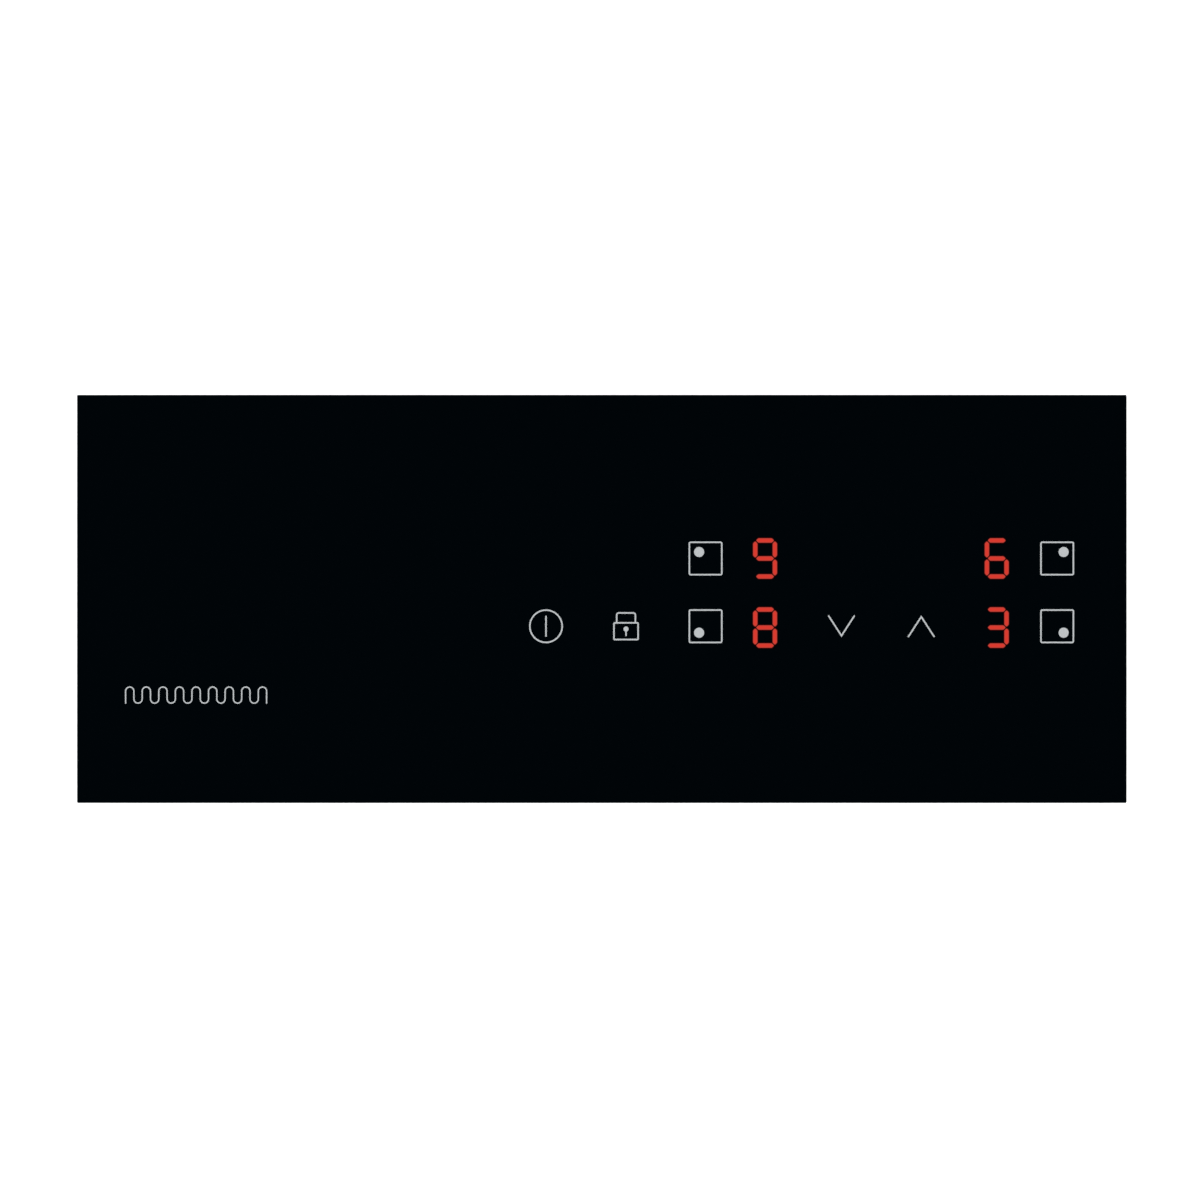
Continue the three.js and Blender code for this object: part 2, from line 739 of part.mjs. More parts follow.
// A bar with pointed ends.
function segmentBar([x, y, length, upright], bottom, top) {
  const [half, w] = [(length - segmentGap) / 2, segmentWidth / 2];
  const outline = new THREE.Shape();
  outline.moveTo(-half, 0);
  outline.lineTo(-half + w, -w);
  outline.lineTo(half - w, -w);
  outline.lineTo(half, 0);
  outline.lineTo(half - w, w);
  outline.lineTo(-half + w, w);
  const bar = slab(outline, bottom, top);
  if (upright) bar.rotateZ(Math.PI / 2);
  return bar.translate(x, y, 0);
}

// Seven-segment display: a box with the light bars standing proud of its face.
function displayModule() {
  const face = displayTop - segmentRise;
  const [width, height] = [digitWidth + 2 * displayBorder, digitHeight + 2 * displayBorder];
  const bars = segmentPlaces().map((bar) => segmentBar(bar, face - 1, displayTop));
  return shaped(block(0, 0, width, height, boardTop, face), { join: bars });
}

function displayPlaces() {
  const places = [];
  for (const [row, y] of [["rear", rearRow], ["front", keyRow]])
    for (const [end, side] of [["left", -1], ["right", 1]])
      places.push({ name: `display_${row}_${end}`, x: levelGroupX + side * displayHalfSpacing, y });
  return places;
}

// Printed sensor foil bonded under the glass, with a window over each display.
function touchSensorFoil() {
  const [x, y] = [controlCentreX, controlCentreY];
  const outline = roundedRectangle(controlLength, controlWidth, controlCorner, x, y);
  const [width, height] = [digitWidth + displayBorder, digitHeight + displayBorder];
  const windows = displayPlaces().map((spot) => roundedRectangle(width, height, 1, spot.x, spot.y));
  return slab(withHoles(outline, ...windows), foilBottom, buildDepth);
}

// The control board's fixing points, at its ends and beside its middle.
function controlFixings() {
  const [reachX, reachY] = [controlLength / 2 - 2 * controlLegRadius, controlWidth / 2];
  const places = [];
  for (const dx of [-reachX, 0, reachX])
    for (const dy of [-reachY, reachY])
      places.push({ x: controlCentreX + dx, y: controlCentreY + dy });
  return places;
}

function controlBoard() {
  const outline = roundedRectangle(
    controlLength, controlWidth, controlCorner, controlCentreX, controlCentreY,
  );
  const holes = [-1, 1].flatMap((dx) =>
    [-1, 1].map((dy) => {
      const x = controlCentreX + dx * (controlLength / 2 - controlHoleInset);
      const y = controlCentreY + dy * (controlWidth / 2 - controlHoleInset);
      return circle(controlHoleRadius, x, y);
    }),
  );
  return slab(withHoles(outline, ...holes), boardBottom, boardTop, 4);
}

// Plastic tray under the board, with ledges that the board lies on and legs down to the floor.
function controlTray() {
  const [x, y] = [controlCentreX, controlCentreY];
  const [length, width] = [controlLength + 2 * controlTrayMargin, controlWidth + 2 * controlTrayMargin];
  const wallTop = controlTrayTop + controlTrayRise;
  const outline = roundedRectangle(length, width, controlCorner, x, y);
  const shell = slab(outline, controlTrayBottom, wallTop);
  const wall = 2 * controlTrayWall;
  const inside = roundedRectangle(length - wall, width - wall, controlCorner - controlTrayWall, x, y);
  const tray = shaped(shell, { cut: [slab(inside, controlTrayTop, wallTop + 1)] });
  const join = [];
  for (const spot of controlFixings()) {
    join.push(rod(spot.x, spot.y, controlLegRadius, floorTop, controlTrayBottom + 1, 8));
    const inward = spot.y - Math.sign(spot.y - y) * controlHoleInset;
    join.push(rod(spot.x, inward, controlLegRadius, controlTrayBottom + 1, boardBottom - fitGap, 8));
  }
  const slot = block(ribbonX, ribbonY, 6 * ribbonThickness, ribbonWidth + 6, controlTrayBottom - 1,
    controlTrayTop + 1);
  return shaped(tray, { join, cut: [slot] });
}

// Flat cable from the control board down to the right power board.
const ribbonThickness = 1.2;
const ribbonWidth = 20;
const ribbonX = powerBoardX + powerBoardLength / 2 - 30;
const ribbonY = -20;
const ribbonRun = 16;

function ribbonCable() {
  const [top, bottom] = [boardBottom - fitGap, onPowerBoard];
  const bend = 4;
  const outline = new THREE.Shape();
  outline.moveTo(0, top);
  outline.lineTo(0, bottom + bend);
  outline.absarc(-bend, bottom + bend, bend, 0, -Math.PI / 2, true);
  outline.lineTo(-ribbonRun, bottom);
  outline.lineTo(-ribbonRun, bottom + ribbonThickness);
  outline.lineTo(-bend, bottom + ribbonThickness);
  outline.absarc(-bend, bottom + bend, bend - ribbonThickness, -Math.PI / 2, 0, false);
  outline.lineTo(-ribbonThickness, top);
  const strip = slab(outline, -ribbonWidth / 2, ribbonWidth / 2, 5).rotateX(Math.PI / 2);
  return strip.translate(ribbonX, ribbonY, 0);
}

function addControl() {
  place(cooktop, "touch_sensor_foil", touchSensorFoil(), touchFoil);
  place(cooktop, "control_board", controlBoard(), circuitBoard);
  place(cooktop, "control_tray", controlTray(), blackPlastic);
  place(cooktop, "ribbon_cable", ribbonCable(), greyPlastic);
  const module = displayModule();
  for (const { name, x, y } of displayPlaces()) place(cooktop, name, module, displayEpoxy, x, y);
}

// ---- Power modules ----

// Square blower housing, open below at its inlet and at its outward side. The motor boss and
// the spindle that the rotor turns on hang from its roof.
function fanHousing(side) {
  const [bottom, top] = [floorTop, floorTop + fanHeight];
  const cavity = rod(0, 0, fanRotorRadius + fanTipGap, bottom + fanWall, top - fanWall, 24);
  const inlet = rod(0, 0, fanInlet, bottom - 1, bottom + 2 * fanWall, 24);
  const outlet = block((side * fanSide) / 2, 0, fanSide, fanOutletWidth, bottom + fanWall, top - fanWall);
  const boss = rod(0, 0, fanBoss, fanRotorFloor + fanDisc + 1, top - fanWall / 2, 16);
  const spindle = rod(0, 0, fanSpindle, fanRotorFloor - fanDisc / 3, top - fanWall / 2, 10);
  const open = shaped(block(0, 0, fanSide, fanSide, bottom, top), { cut: [cavity, inlet, outlet] });
  return shaped(open, { join: [boss, spindle] });
}

const fanRotorFloor = floorTop + fanWall + 1.5;
const fanRotorTop = floorTop + fanHeight - fanWall - 1.5;

// Centrifugal rotor: a disc with a hub cup round the motor boss, blades, and a shroud ring.
function fanRotor() {
  const discBottom = fanRotorTop - fanDisc;
  const bore = fanSpindle + fitGap;
  const profile = [
    [bore, fanRotorFloor],
    [fanHub, fanRotorFloor],
    [fanHub, discBottom],
    [fanRotorRadius, discBottom],
    [fanRotorRadius, fanRotorTop],
    [fanHub - fanHubWall, fanRotorTop],
    [fanHub - fanHubWall, fanRotorFloor + fanDisc],
    [bore, fanRotorFloor + fanDisc],
    [bore, fanRotorFloor],
  ];
  const bladeMiddle = fanRotorRadius - fanBladeDepth / 2 - 0.6;
  const shroud = [
    [fanRotorRadius - fanBladeDepth, fanRotorFloor],
    [fanRotorRadius, fanRotorFloor],
    [fanRotorRadius, fanRotorFloor + fanDisc],
    [fanRotorRadius - fanBladeDepth, fanRotorFloor + fanDisc],
    [fanRotorRadius - fanBladeDepth, fanRotorFloor],
  ];
  const join = [];
  for (let i = 0; i < fanBladeCount; i++) {
    const blade = block(0, 0, fanBladeDepth, fanBladeThickness, fanRotorFloor + 0.5, fanRotorTop - 0.5);
    blade.rotateZ(fanBladeTurn).translate(bladeMiddle, 0, 0);
    join.push(blade.rotateZ((i / fanBladeCount) * 2 * Math.PI));
  }
  join.push(turned(shroud, 24));
  return shaped(turned(profile, 24), { join });
}

// Extruded comb with its fins running along the air stream.
function heatSink() {
  const pitch = (sinkWidth - sinkFin) / (sinkFins - 1);
  const height = componentTop - onPowerBoard;
  const outline = new THREE.Shape();
  outline.moveTo(-sinkWidth / 2, 0);
  outline.lineTo(sinkWidth / 2, 0);
  for (let i = sinkFins - 1; i >= 0; i--) {
    const left = -sinkWidth / 2 + i * pitch;
    if (i < sinkFins - 1) outline.lineTo(left + sinkFin, sinkBase);
    outline.lineTo(left + sinkFin, height);
    outline.lineTo(left, height);
    if (i > 0) outline.lineTo(left, sinkBase);
  }
  const comb = slab(outline, -sinkLength / 2, sinkLength / 2);
  return comb.rotateX(Math.PI / 2).rotateZ(Math.PI / 2);
}

// A board with the parts that are soldered to it.
function solderedBoard(length, width, parts) {
  const board = block(0, 0, length, width, powerBoardBottom, powerBoardTop);
  return shaped(board, { join: parts });
}

// A film capacitor, dipped so that its upright edges are round.
function filmCapacitor({ length, width }, x) {
  return slab(roundedRectangle(length, width, 2, x, 0), powerBoardTop - boardThickness / 2, componentTop);
}

function addPowerModule(end, side) {
  place(cooktop, `fan_housing_${end}`, fanHousing(side), blackPlastic, side * fanCentreX, 0);
  place(cooktop, `fan_rotor_${end}`, fanRotor(), greyPlastic, side * fanCentreX, 0);
  const sinkX = powerBoardInner + sinkMargin + sinkLength / 2;
  const capacitorX = sinkX + (sinkLength + capacitor.length) / 2 + capacitor.gap;
  const part = filmCapacitor(capacitor, side * (capacitorX - powerBoardX));
  const board = solderedBoard(powerBoardLength, powerBoardWidth, [part]);
  place(cooktop, `power_board_${end}`, board, circuitBoard, side * powerBoardX, 0);
  place(cooktop, `heat_sink_${end}`, heatSink(), aluminium, side * sinkX, 0, onPowerBoard);
}

// ---- Mains filter ----

// Board with a ring choke at one end and a film capacitor at the other.
function filterBoard() {
  const bottom = powerBoardTop - boardThickness / 2;
  const ring = [
    [chokeEye, bottom],
    [chokeRadius, bottom],
    [chokeRadius, powerBoardTop + chokeHeight],
    [chokeEye, powerBoardTop + chokeHeight],
    [chokeEye, bottom],
  ];
  const choke = turned(ring, 20).translate(chokeRadius + chokeInset - filterBoardLength / 2, 0, 0);
  const part = filmCapacitor(filterCapacitor, filterBoardLength / 2 - filterCapacitor.inset);
  return solderedBoard(filterBoardLength, filterBoardWidth, [choke, part]);
}

// ---- Mains terminals ----

const saddlePost = { offset: 11, radius: 3 };
const saddleY = terminalY + terminalDepth / 2 - terminalWall - 8;
const saddleRise = 4;
const saddleBottom = lidPinHeight + 1;
const saddleTop = saddleBottom + saddleRise;
const saddleHalf = saddlePost.offset + saddlePost.radius;
const leadZ = floorTop + terminalHeight / 2 + blockToMiddle;
const blockY = terminalY - blockToMiddle;
const terminalBlockLength = terminalPoles * terminalPolePitch + 4;

// Plastic chamber, open below, with a cable hole behind and a lead slot on its inner end. The
// strain relief is screwed to two posts that hang from its roof.
function terminalBox() {
  const [x, y] = [terminalX, terminalY];
  const outer = block(x, y, terminalLength, terminalDepth, floorTop, terminalTop);
  const wall = 2 * terminalWall;
  const cut = [
    block(x, y, terminalLength - wall, terminalDepth - wall, 0, terminalTop - terminalWall),
    rodAlong("y", cableHoleRadius, 4 * terminalWall, x, y + terminalDepth / 2, cableHoleHeight, 16),
    block(x - terminalLength / 2, blockY, 4 * terminalWall, 6 * leadPitch, leadZ - 4, leadZ + 4),
    rodAlong("x", lidPinRadius + 0.2, terminalLength + 2, x, lidPinY, lidPinHeight),
  ];
  const join = [-1, 1].map((side) =>
    rod(x + side * saddlePost.offset, saddleY, saddlePost.radius, saddleTop + fitGap, terminalTop - 1, 8),
  );
  return shaped(shaped(outer, { cut }), { join });
}

// Screw terminals side by side, each with a bore from below for its wire.
function terminalBlockBody() {
  const top = terminalTop - terminalWall - fitGap;
  const bottom = top - terminalBlock.height;
  const body = block(terminalX, blockY, terminalBlockLength, terminalBlock.width, bottom, top);
  const cut = [];
  for (let i = 0; i < terminalPoles; i++) {
    const x = terminalX + (i - (terminalPoles - 1) / 2) * terminalPolePitch;
    cut.push(rod(x, blockY, poleRadius, bottom - 1, bottom + 8, 8));
  }
  return shaped(body, { cut });
}

// Saddle under the cable, just inside its hole.
function strainRelief() {
  const reach = cableHoleRadius - 0.5;
  const angle = Math.asin((cableHoleHeight - saddleTop) / reach);
  const outline = new THREE.Shape();
  outline.moveTo(-saddleHalf, saddleBottom);
  outline.lineTo(saddleHalf, saddleBottom);
  outline.lineTo(saddleHalf, saddleTop);
  outline.absarc(0, cableHoleHeight, reach, -angle, angle - Math.PI, true);
  outline.lineTo(-saddleHalf, saddleTop);
  return slab(outline, -saddleRise, saddleRise, 4).rotateX(Math.PI / 2).translate(terminalX, saddleY, 0);
}

const lidLength = terminalLength - 2 * terminalWall - 2 * runGap;
const lidBottom = fitGap;
const lidRear = terminalY + terminalDepth / 2 - terminalWall - runGap;
const lidFront = lidPinY - 2;

// Flat lid with two ears that hang on the pin.
function terminalLid() {
  const middleY = (lidFront + lidRear) / 2;
  const lidTop = lidBottom + lidThickness;
  const plate = block(terminalX, middleY, lidLength, lidRear - lidFront, lidBottom, lidTop);
  const join = [];
  const cut = [];
  for (const side of [-1, 1]) {
    const x = terminalX + side * (lidLength / 2 - lidEar / 2 - 2);
    join.push(block(x, lidPinY, lidEar, 4, lidBottom + 0.5, lidPinHeight));
    join.push(rodAlong("x", 3, lidEar, x, lidPinY, lidPinHeight));
    cut.push(rodAlong("x", lidPinRadius + 0.3, lidEar + 2, x, lidPinY, lidPinHeight));
  }
  return shaped(plate, { join, cut });
}

// Flat lead of three cores from the terminal block to the filter board.
function mainsLead() {
  const start = terminalX - (terminalBlockLength / 2 + 0.5);
  const end = filterCentre.x + filterBoardLength / 2 - 6;
  const points = [
    new THREE.Vector3(start, blockY, leadZ),
    new THREE.Vector3(start - 10, blockY, leadZ),
    new THREE.Vector3((start + end) / 2, (blockY + filterCentre.y) / 2, leadZ - 1),
    new THREE.Vector3(end, filterCentre.y, onPowerBoard + leadRadius + 4),
    new THREE.Vector3(end - 4, filterCentre.y, onPowerBoard + leadRadius + 0.3),
  ];
  const route = new THREE.CatmullRomCurve3(points);
  const settings = { extrudePath: route, steps: 9, curveSegments: 3 };
  const cores = [-1, 0, 1].map((side) =>
    new THREE.ExtrudeGeometry(circle(leadRadius), settings).translate(0, side * leadPitch, 0),
  );
  return shaped(cores[0], { join: cores.slice(1) });
}

function addTerminals() {
  place(cooktop, "terminal_box", terminalBox(), blackPlastic);
  place(cooktop, "terminal_block", terminalBlockBody(), sensorWhite);
  place(cooktop, "terminal_lid", terminalLid(), blackPlastic);
  const pin = rodAlong("x", lidPinRadius, terminalLength, terminalX, lidPinY, lidPinHeight);
  place(cooktop, "terminal_lid_pin", pin, zincScrew);
  place(cooktop, "strain_relief_saddle", strainRelief(), greyPlastic);
  place(cooktop, "mains_lead", mainsLead(), blackPlastic);
}

// ---- Fixing clamps ----

// Steel arm with a rounded pivot end and an upturned lip, drawn pointing along +X.
function clampArm() {
  const [w, armTop] = [clampWidth / 2, clampBottom + clampSheet];
  const outline = new THREE.Shape();
  outline.moveTo(0, -w);
  outline.lineTo(clampLength, -w);
  outline.lineTo(clampLength, w);
  outline.lineTo(0, w);
  outline.absarc(0, 0, w, Math.PI / 2, 1.5 * Math.PI);
  const arm = slab(withHoles(outline, circle(clampScrewRadius + runGap)), clampBottom, armTop, 6);
  const lipX = clampLength - clampSheet / 2;
  const lip = block(lipX, 0, clampSheet, clampWidth, clampBottom, armTop + clampLip);
  return shaped(arm, { join: [lip] });
}

// Long screw with its head below the arm and its end through the pocket's roof.
function clampScrew() {
  const head = rod(0, 0, clampScrewHead, clampHeadBottom, clampHeadBottom + clampHeadHeight);
  const tip = pocketHeight + tubSheet + clampScrewEnd;
  const shank = rod(0, 0, clampScrewRadius, clampHeadBottom + 1, tip);
  return shaped(head, { join: [shank] });
}

function addClamps() {
  for (const { name, x, y } of clampPlaces()) {
    place(cooktop, `fixing_clamp_${name}`, clampArm(), zincScrew, x, y);
    place(cooktop, `clamp_screw_${name}`, clampScrew(), zincScrew, x, y);
  }
}

// ---- The whole cooktop ----

place(cooktop, "glass_top", glassPlate(), blackGlass);
place(cooktop, "worktop_seal", worktopSeal(), foam);
place(cooktop, "glass_adhesive", glassAdhesive(), silicone);
place(cooktop, "mounting_frame", mountingFrame(), paintedSteel);
addMarks();
place(cooktop, "bottom_tub", bottomTub(), galvanisedSteel);
addCoils();
addControl();
addPowerModule("left", -1);
addPowerModule("right", 1);
place(cooktop, "filter_board", filterBoard(), circuitBoard, filterCentre.x, filterCentre.y);
addTerminals();
addClamps();

export default cooktop;
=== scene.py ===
"""Looks of a slim four-zone induction cooktop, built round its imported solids. All sizes are metres."""

import json
import math

import bmesh
import bpy
from mathutils import Matrix, Vector


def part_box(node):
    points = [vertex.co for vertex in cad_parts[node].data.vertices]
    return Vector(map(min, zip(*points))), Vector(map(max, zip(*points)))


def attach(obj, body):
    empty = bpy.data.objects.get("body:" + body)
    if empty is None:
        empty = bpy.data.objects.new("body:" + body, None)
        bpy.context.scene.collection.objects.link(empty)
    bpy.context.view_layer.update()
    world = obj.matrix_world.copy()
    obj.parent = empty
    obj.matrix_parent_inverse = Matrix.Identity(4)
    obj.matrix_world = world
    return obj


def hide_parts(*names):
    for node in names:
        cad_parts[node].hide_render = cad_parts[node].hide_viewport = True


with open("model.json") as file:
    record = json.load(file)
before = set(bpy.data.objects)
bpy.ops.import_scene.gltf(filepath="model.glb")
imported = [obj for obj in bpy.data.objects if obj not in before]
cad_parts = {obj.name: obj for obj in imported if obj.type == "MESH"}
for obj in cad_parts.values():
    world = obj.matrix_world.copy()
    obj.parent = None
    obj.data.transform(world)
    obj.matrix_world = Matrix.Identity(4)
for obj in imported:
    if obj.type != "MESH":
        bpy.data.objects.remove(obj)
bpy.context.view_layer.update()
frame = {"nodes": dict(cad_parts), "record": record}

# ---- Glass plate ----
# One sheet of toughened black glass-ceramic. Its faces are fire-polished, its edge is ground to a
# fine satin round, and it is bonded to the steel frame that hangs in the worktop.

MM = 0.001
glass_low, glass_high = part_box("glass_top")
glass_corner = 1.0 * MM
glass_edge_round = 0.4 * MM
glass_edge_steps = 5
least_corner = 0.05 * MM
crease = math.radians(38)


def rounded_rectangle(low, high, corner, steps=6, inset=0.0):
    """(x, y) points anticlockwise round a rectangle between two corners, moved inwards by inset."""
    radius = max(corner - inset, least_corner)
    points = []
    for x_end, y_end, start in ((1, 1, 0), (-1, 1, 90), (-1, -1, 180), (1, -1, 270)):
        x = (high[0] if x_end > 0 else low[0]) - x_end * (inset + radius)
        y = (high[1] if y_end > 0 else low[1]) - y_end * (inset + radius)
        for i in range(steps + 1):
            angle = math.radians(start + 90 * i / steps)
            points.append((x + radius * math.cos(angle), y + radius * math.sin(angle)))
    return points


def at_level(outline, z):
    """A plan outline as a ring of points at one height."""
    return [Vector((x, y, z)) for x, y in outline]


def loft(rings, looped=False):
    """Points and faces of a skin through rings of equal count. Open ends are closed with a face."""
    count = len(rings[0])
    points = [point for ring in rings for point in ring]
    faces = []
    for i in range(len(rings) if looped else len(rings) - 1):
        here, there = i * count, (i + 1) % len(rings) * count
        for j in range(count):
            k = (j + 1) % count
            faces.append((here + j, here + k, there + k, there + j))
    if not looped:
        faces.append(tuple(range(count)))
        faces.append(tuple(range(len(points) - count, len(points))))
    return points, faces


def show_piece(name, mesh, finish, body="root", stands_for=()):
    """Turns a bmesh into a piece: faces outwards, smooth but for its real edges, riding its body."""
    bmesh.ops.recalc_face_normals(mesh, faces=mesh.faces)
    for face in mesh.faces:
        face.smooth = True
    for edge in mesh.edges:
        edge.smooth = edge.is_manifold and edge.calc_face_angle(0) < crease
    data = bpy.data.meshes.new(name)
    mesh.to_mesh(data)
    mesh.free()
    data.materials.append(finish)
    piece = bpy.data.objects.new(name, data)
    bpy.context.scene.collection.objects.link(piece)
    piece.modifiers.new("flat faces stay flat", "WEIGHTED_NORMAL").keep_sharp = True
    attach(piece, body)
    if stands_for:
        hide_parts(*stands_for)
    return piece


def build_piece(name, skins, finish, body="root", stands_for=()):
    """One piece from several closed skins of (points, faces)."""
    mesh = bmesh.new()
    for points, faces in skins:
        corners = [mesh.verts.new(point) for point in points]
        for face in faces:
            mesh.faces.new([corners[i] for i in face])
    return show_piece(name, mesh, finish, body, stands_for)


def linear(colour):
    """An sRGB hex value as linear red, green and blue, and alpha."""
    channels = [(colour >> shift & 255) / 255 for shift in (16, 8, 0)]
    return [c / 12.92 if c <= 0.04045 else ((c + 0.055) / 1.055) ** 2.4 for c in channels] + [1.0]


def new_finish(name, colour, roughness, metallic=0.0, sockets=None):
    """A material with its even values set on the shader's own sockets."""
    finish = bpy.data.materials.new(name)
    finish.use_nodes = True
    shader = finish.node_tree.nodes["Principled BSDF"]
    shader.inputs["Base Color"].default_value = linear(colour)
    shader.inputs["Roughness"].default_value = roughness
    shader.inputs["Metallic"].default_value = metallic
    for socket, value in (sockets or {}).items():
        shader.inputs[socket].default_value = value
    return finish


def add_node(finish, kind, settings, links):
    """Adds one node. Settings are its properties or input values, and links feed its inputs."""
    node = finish.node_tree.nodes.new("ShaderNode" + kind)
    for name, value in settings.items():
        if hasattr(node, name):
            setattr(node, name, value)
        else:
            node.inputs[name].default_value = value
    for name, output in links.items():
        finish.node_tree.links.new(output, node.inputs[name])
    return node


def set_stops(ramp, stops):
    """Gives a colour ramp its stops, each a place and a linear colour with alpha."""
    elements = ramp.color_ramp.elements
    while len(elements) < len(stops):
        elements.new(0.5)
    for element, (place, colour) in zip(elements, stops):
        element.position = place
        element.color = colour


def apply_pattern(finish, pattern, shades=None, roughness=None, relief=None):
    """Lets a pattern from 0 to 1 set (place, hex) shades, a roughness range and a relief."""
    links = finish.node_tree.links
    shader = finish.node_tree.nodes["Principled BSDF"]
    if shades:
        ramp = add_node(finish, "ValToRGB", {}, {"Fac": pattern})
        set_stops(ramp, [(place, linear(colour)) for place, colour in shades])
        links.new(ramp.outputs["Color"], shader.inputs["Base Color"])
    if roughness:
        ends = {"To Min": roughness[0], "To Max": roughness[1]}
        spread = add_node(finish, "MapRange", ends, {"Value": pattern})
        links.new(spread.outputs["Result"], shader.inputs["Roughness"])
    if relief:
        below = [link.from_socket for link in shader.inputs["Normal"].links]
        feeds = {"Height": pattern, **({"Normal": below[0]} if below else {})}
        bump = add_node(finish, "Bump", {"Distance": relief}, feeds)
        links.new(bump.outputs["Normal"], shader.inputs["Normal"])


# Glass-ceramic coloured through: nearly black with a trace of blue-green, mirror-smooth, with the
# faint cloudy wiping marks that a cloth leaves on it.
polished_glass = new_finish("polished_black_glass_ceramic", 0x010305, 0.04, sockets={"IOR": 1.54})
place = add_node(polished_glass, "TexCoord", {}, {})
wiping = add_node(
    polished_glass, "TexNoise", {"Scale": 1 / (70 * MM), "Detail": 3},
    {"Vector": place.outputs["Object"]},
)
apply_pattern(polished_glass, wiping.outputs["Fac"], roughness=(0.025, 0.075))

# The same glass where a diamond wheel has ground it: satin, a little paler, with 0.3 mm grain.
ground_glass = new_finish("ground_glass_edge", 0x0A1012, 0.3, sockets={"IOR": 1.54})
place = add_node(ground_glass, "TexCoord", {}, {})
grain = add_node(
    ground_glass, "TexNoise", {"Scale": 1 / (0.3 * MM)}, {"Vector": place.outputs["Object"]},
)
apply_pattern(
    ground_glass, grain.outputs["Fac"],
    shades=((0.3, 0x04080A), (0.7, 0x0A1012)), roughness=(0.22, 0.36), relief=0.008 * MM,
)

glass_rings = []
for z, way in ((glass_low.z, -1), (glass_high.z, 1)):
    steps = range(glass_edge_steps + 1)
    for i in reversed(steps) if way < 0 else steps:
        angle = math.radians(90 * i / glass_edge_steps)
        inset = glass_edge_round * (1 - math.cos(angle))
        depth = glass_edge_round * (1 - math.sin(angle))
        outline = rounded_rectangle(glass_low, glass_high, glass_corner, inset=inset)
        glass_rings.append(at_level(outline, z - way * depth))
glass_plate = build_piece(
    "glass_plate", [loft(glass_rings)], polished_glass, stands_for=["glass_top"],
)
glass_plate.data.materials.append(ground_glass)
level_normal = 0.999
for face in glass_plate.data.polygons:
    face.material_index = 0 if abs(face.normal.z) > level_normal else 1

# ---- Enamel marks ----
# The keys are drawn in light grey ceramic ink, screen-printed on the plate and fired into it. Their
# fine lines lie a few hundredths of a millimetre proud of the glass.

print_line = 1.28 * MM
print_margin = 0.22 * MM
print_levels = (glass_high.z, glass_high.z + 0.05 * MM)
round_steps = 48
cap_angles = (12, 32, 52, 72)
sharpest_mitre = 0.3


def middle(node):
    """The middle of a solid's plan."""
    low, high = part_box(node)
    return Vector(((low.x + high.x) / 2, (low.y + high.y) / 2))


def prism(outline, levels):
    """A closed plate with a plan outline, between two heights."""
    return loft([at_level(outline, z) for z in levels])


def band(outer, inner, levels):
    """A closed frame between an outer and an inner outline of equal count."""
    low, high = levels
    rings = [at_level(outer, low), at_level(outer, high), at_level(inner, high), at_level(inner, low)]
    return loft(rings, looped=True)


def circle(centre, radius, steps=round_steps):
    """(x, y) points round a circle."""
    turns = [2 * math.pi * i / steps for i in range(steps)]
    return [(centre[0] + radius * math.cos(a), centre[1] + radius * math.sin(a)) for a in turns]


def strip(path, halves, levels):
    """A flat closed strip along a path of points, with half its width given at each point."""
    rings = []
    for i, (point, half) in enumerate(zip(path, halves)):
        before = (point - path[i - 1]).normalized() if i else None
        after = (path[i + 1] - point).normalized() if i < len(path) - 1 else None
        along = ((before or after) + (after or before)).normalized()
        mitre = max(along.dot(before or after), sharpest_mitre)
        across = Vector((-along.y, along.x)) * half / mitre
        left, right = point + across, point - across
        low, high = levels
        corners = ((left, low), (left, high), (right, high), (right, low))
        rings.append([Vector((*spot, z)) for spot, z in corners])
    return loft(rings)


def stroke(path, width, levels, round_ends=True):
    """A printed line of even width along a path of points."""
    radius = width / 2
    start = (path[0] - path[1]).normalized()
    end = (path[-1] - path[-2]).normalized()
    turns = [math.radians(a) for a in cap_angles] if round_ends else []
    points = [path[0] + start * radius * math.cos(a) for a in turns] + list(path)
    points += [path[-1] + end * radius * math.cos(a) for a in reversed(turns)]
    caps = [radius * math.sin(a) for a in turns]
    return strip(points, caps + [radius] * len(path) + caps[::-1], levels)


def arc(centre, radius, start, end, steps=12):
    """Points along an arc between two angles in degrees."""
    x, y = centre
    angles = [math.radians(start + (end - start) * i / steps) for i in range(steps + 1)]
    return [Vector((x + radius * math.cos(a), y + radius * math.sin(a))) for a in angles]


# Ceramic ink, satin, with the slight unevenness that the screen's mesh leaves in a fired print.
fired_enamel = new_finish("fired_grey_enamel", 0xBBBFC1, 0.5)
place = add_node(fired_enamel, "TexCoord", {}, {})
ink = add_node(
    fired_enamel, "TexNoise", {"Scale": 1 / (0.9 * MM), "Detail": 2},
    {"Vector": place.outputs["Object"]},
)
apply_pattern(
    fired_enamel, ink.outputs["Fac"],
    shades=((0.3, 0xB6BABC), (0.7, 0xC0C4C6)), roughness=(0.42, 0.56), relief=0.004 * MM,
)

# On/off key: a ring with an upright bar inside
power_ring = 14.5 * MM
power_bar = 17.8 * MM
spot = middle("power_key_mark")
bar_half = Vector((0, power_bar / 2))
build_piece(
    "power_key", [
        band(circle(spot, power_ring), circle(spot, power_ring - print_line), print_levels),
        stroke([spot - bar_half, spot + bar_half], print_line, print_levels, round_ends=False),
    ],
    fired_enamel, stands_for=["power_key_mark"],
)

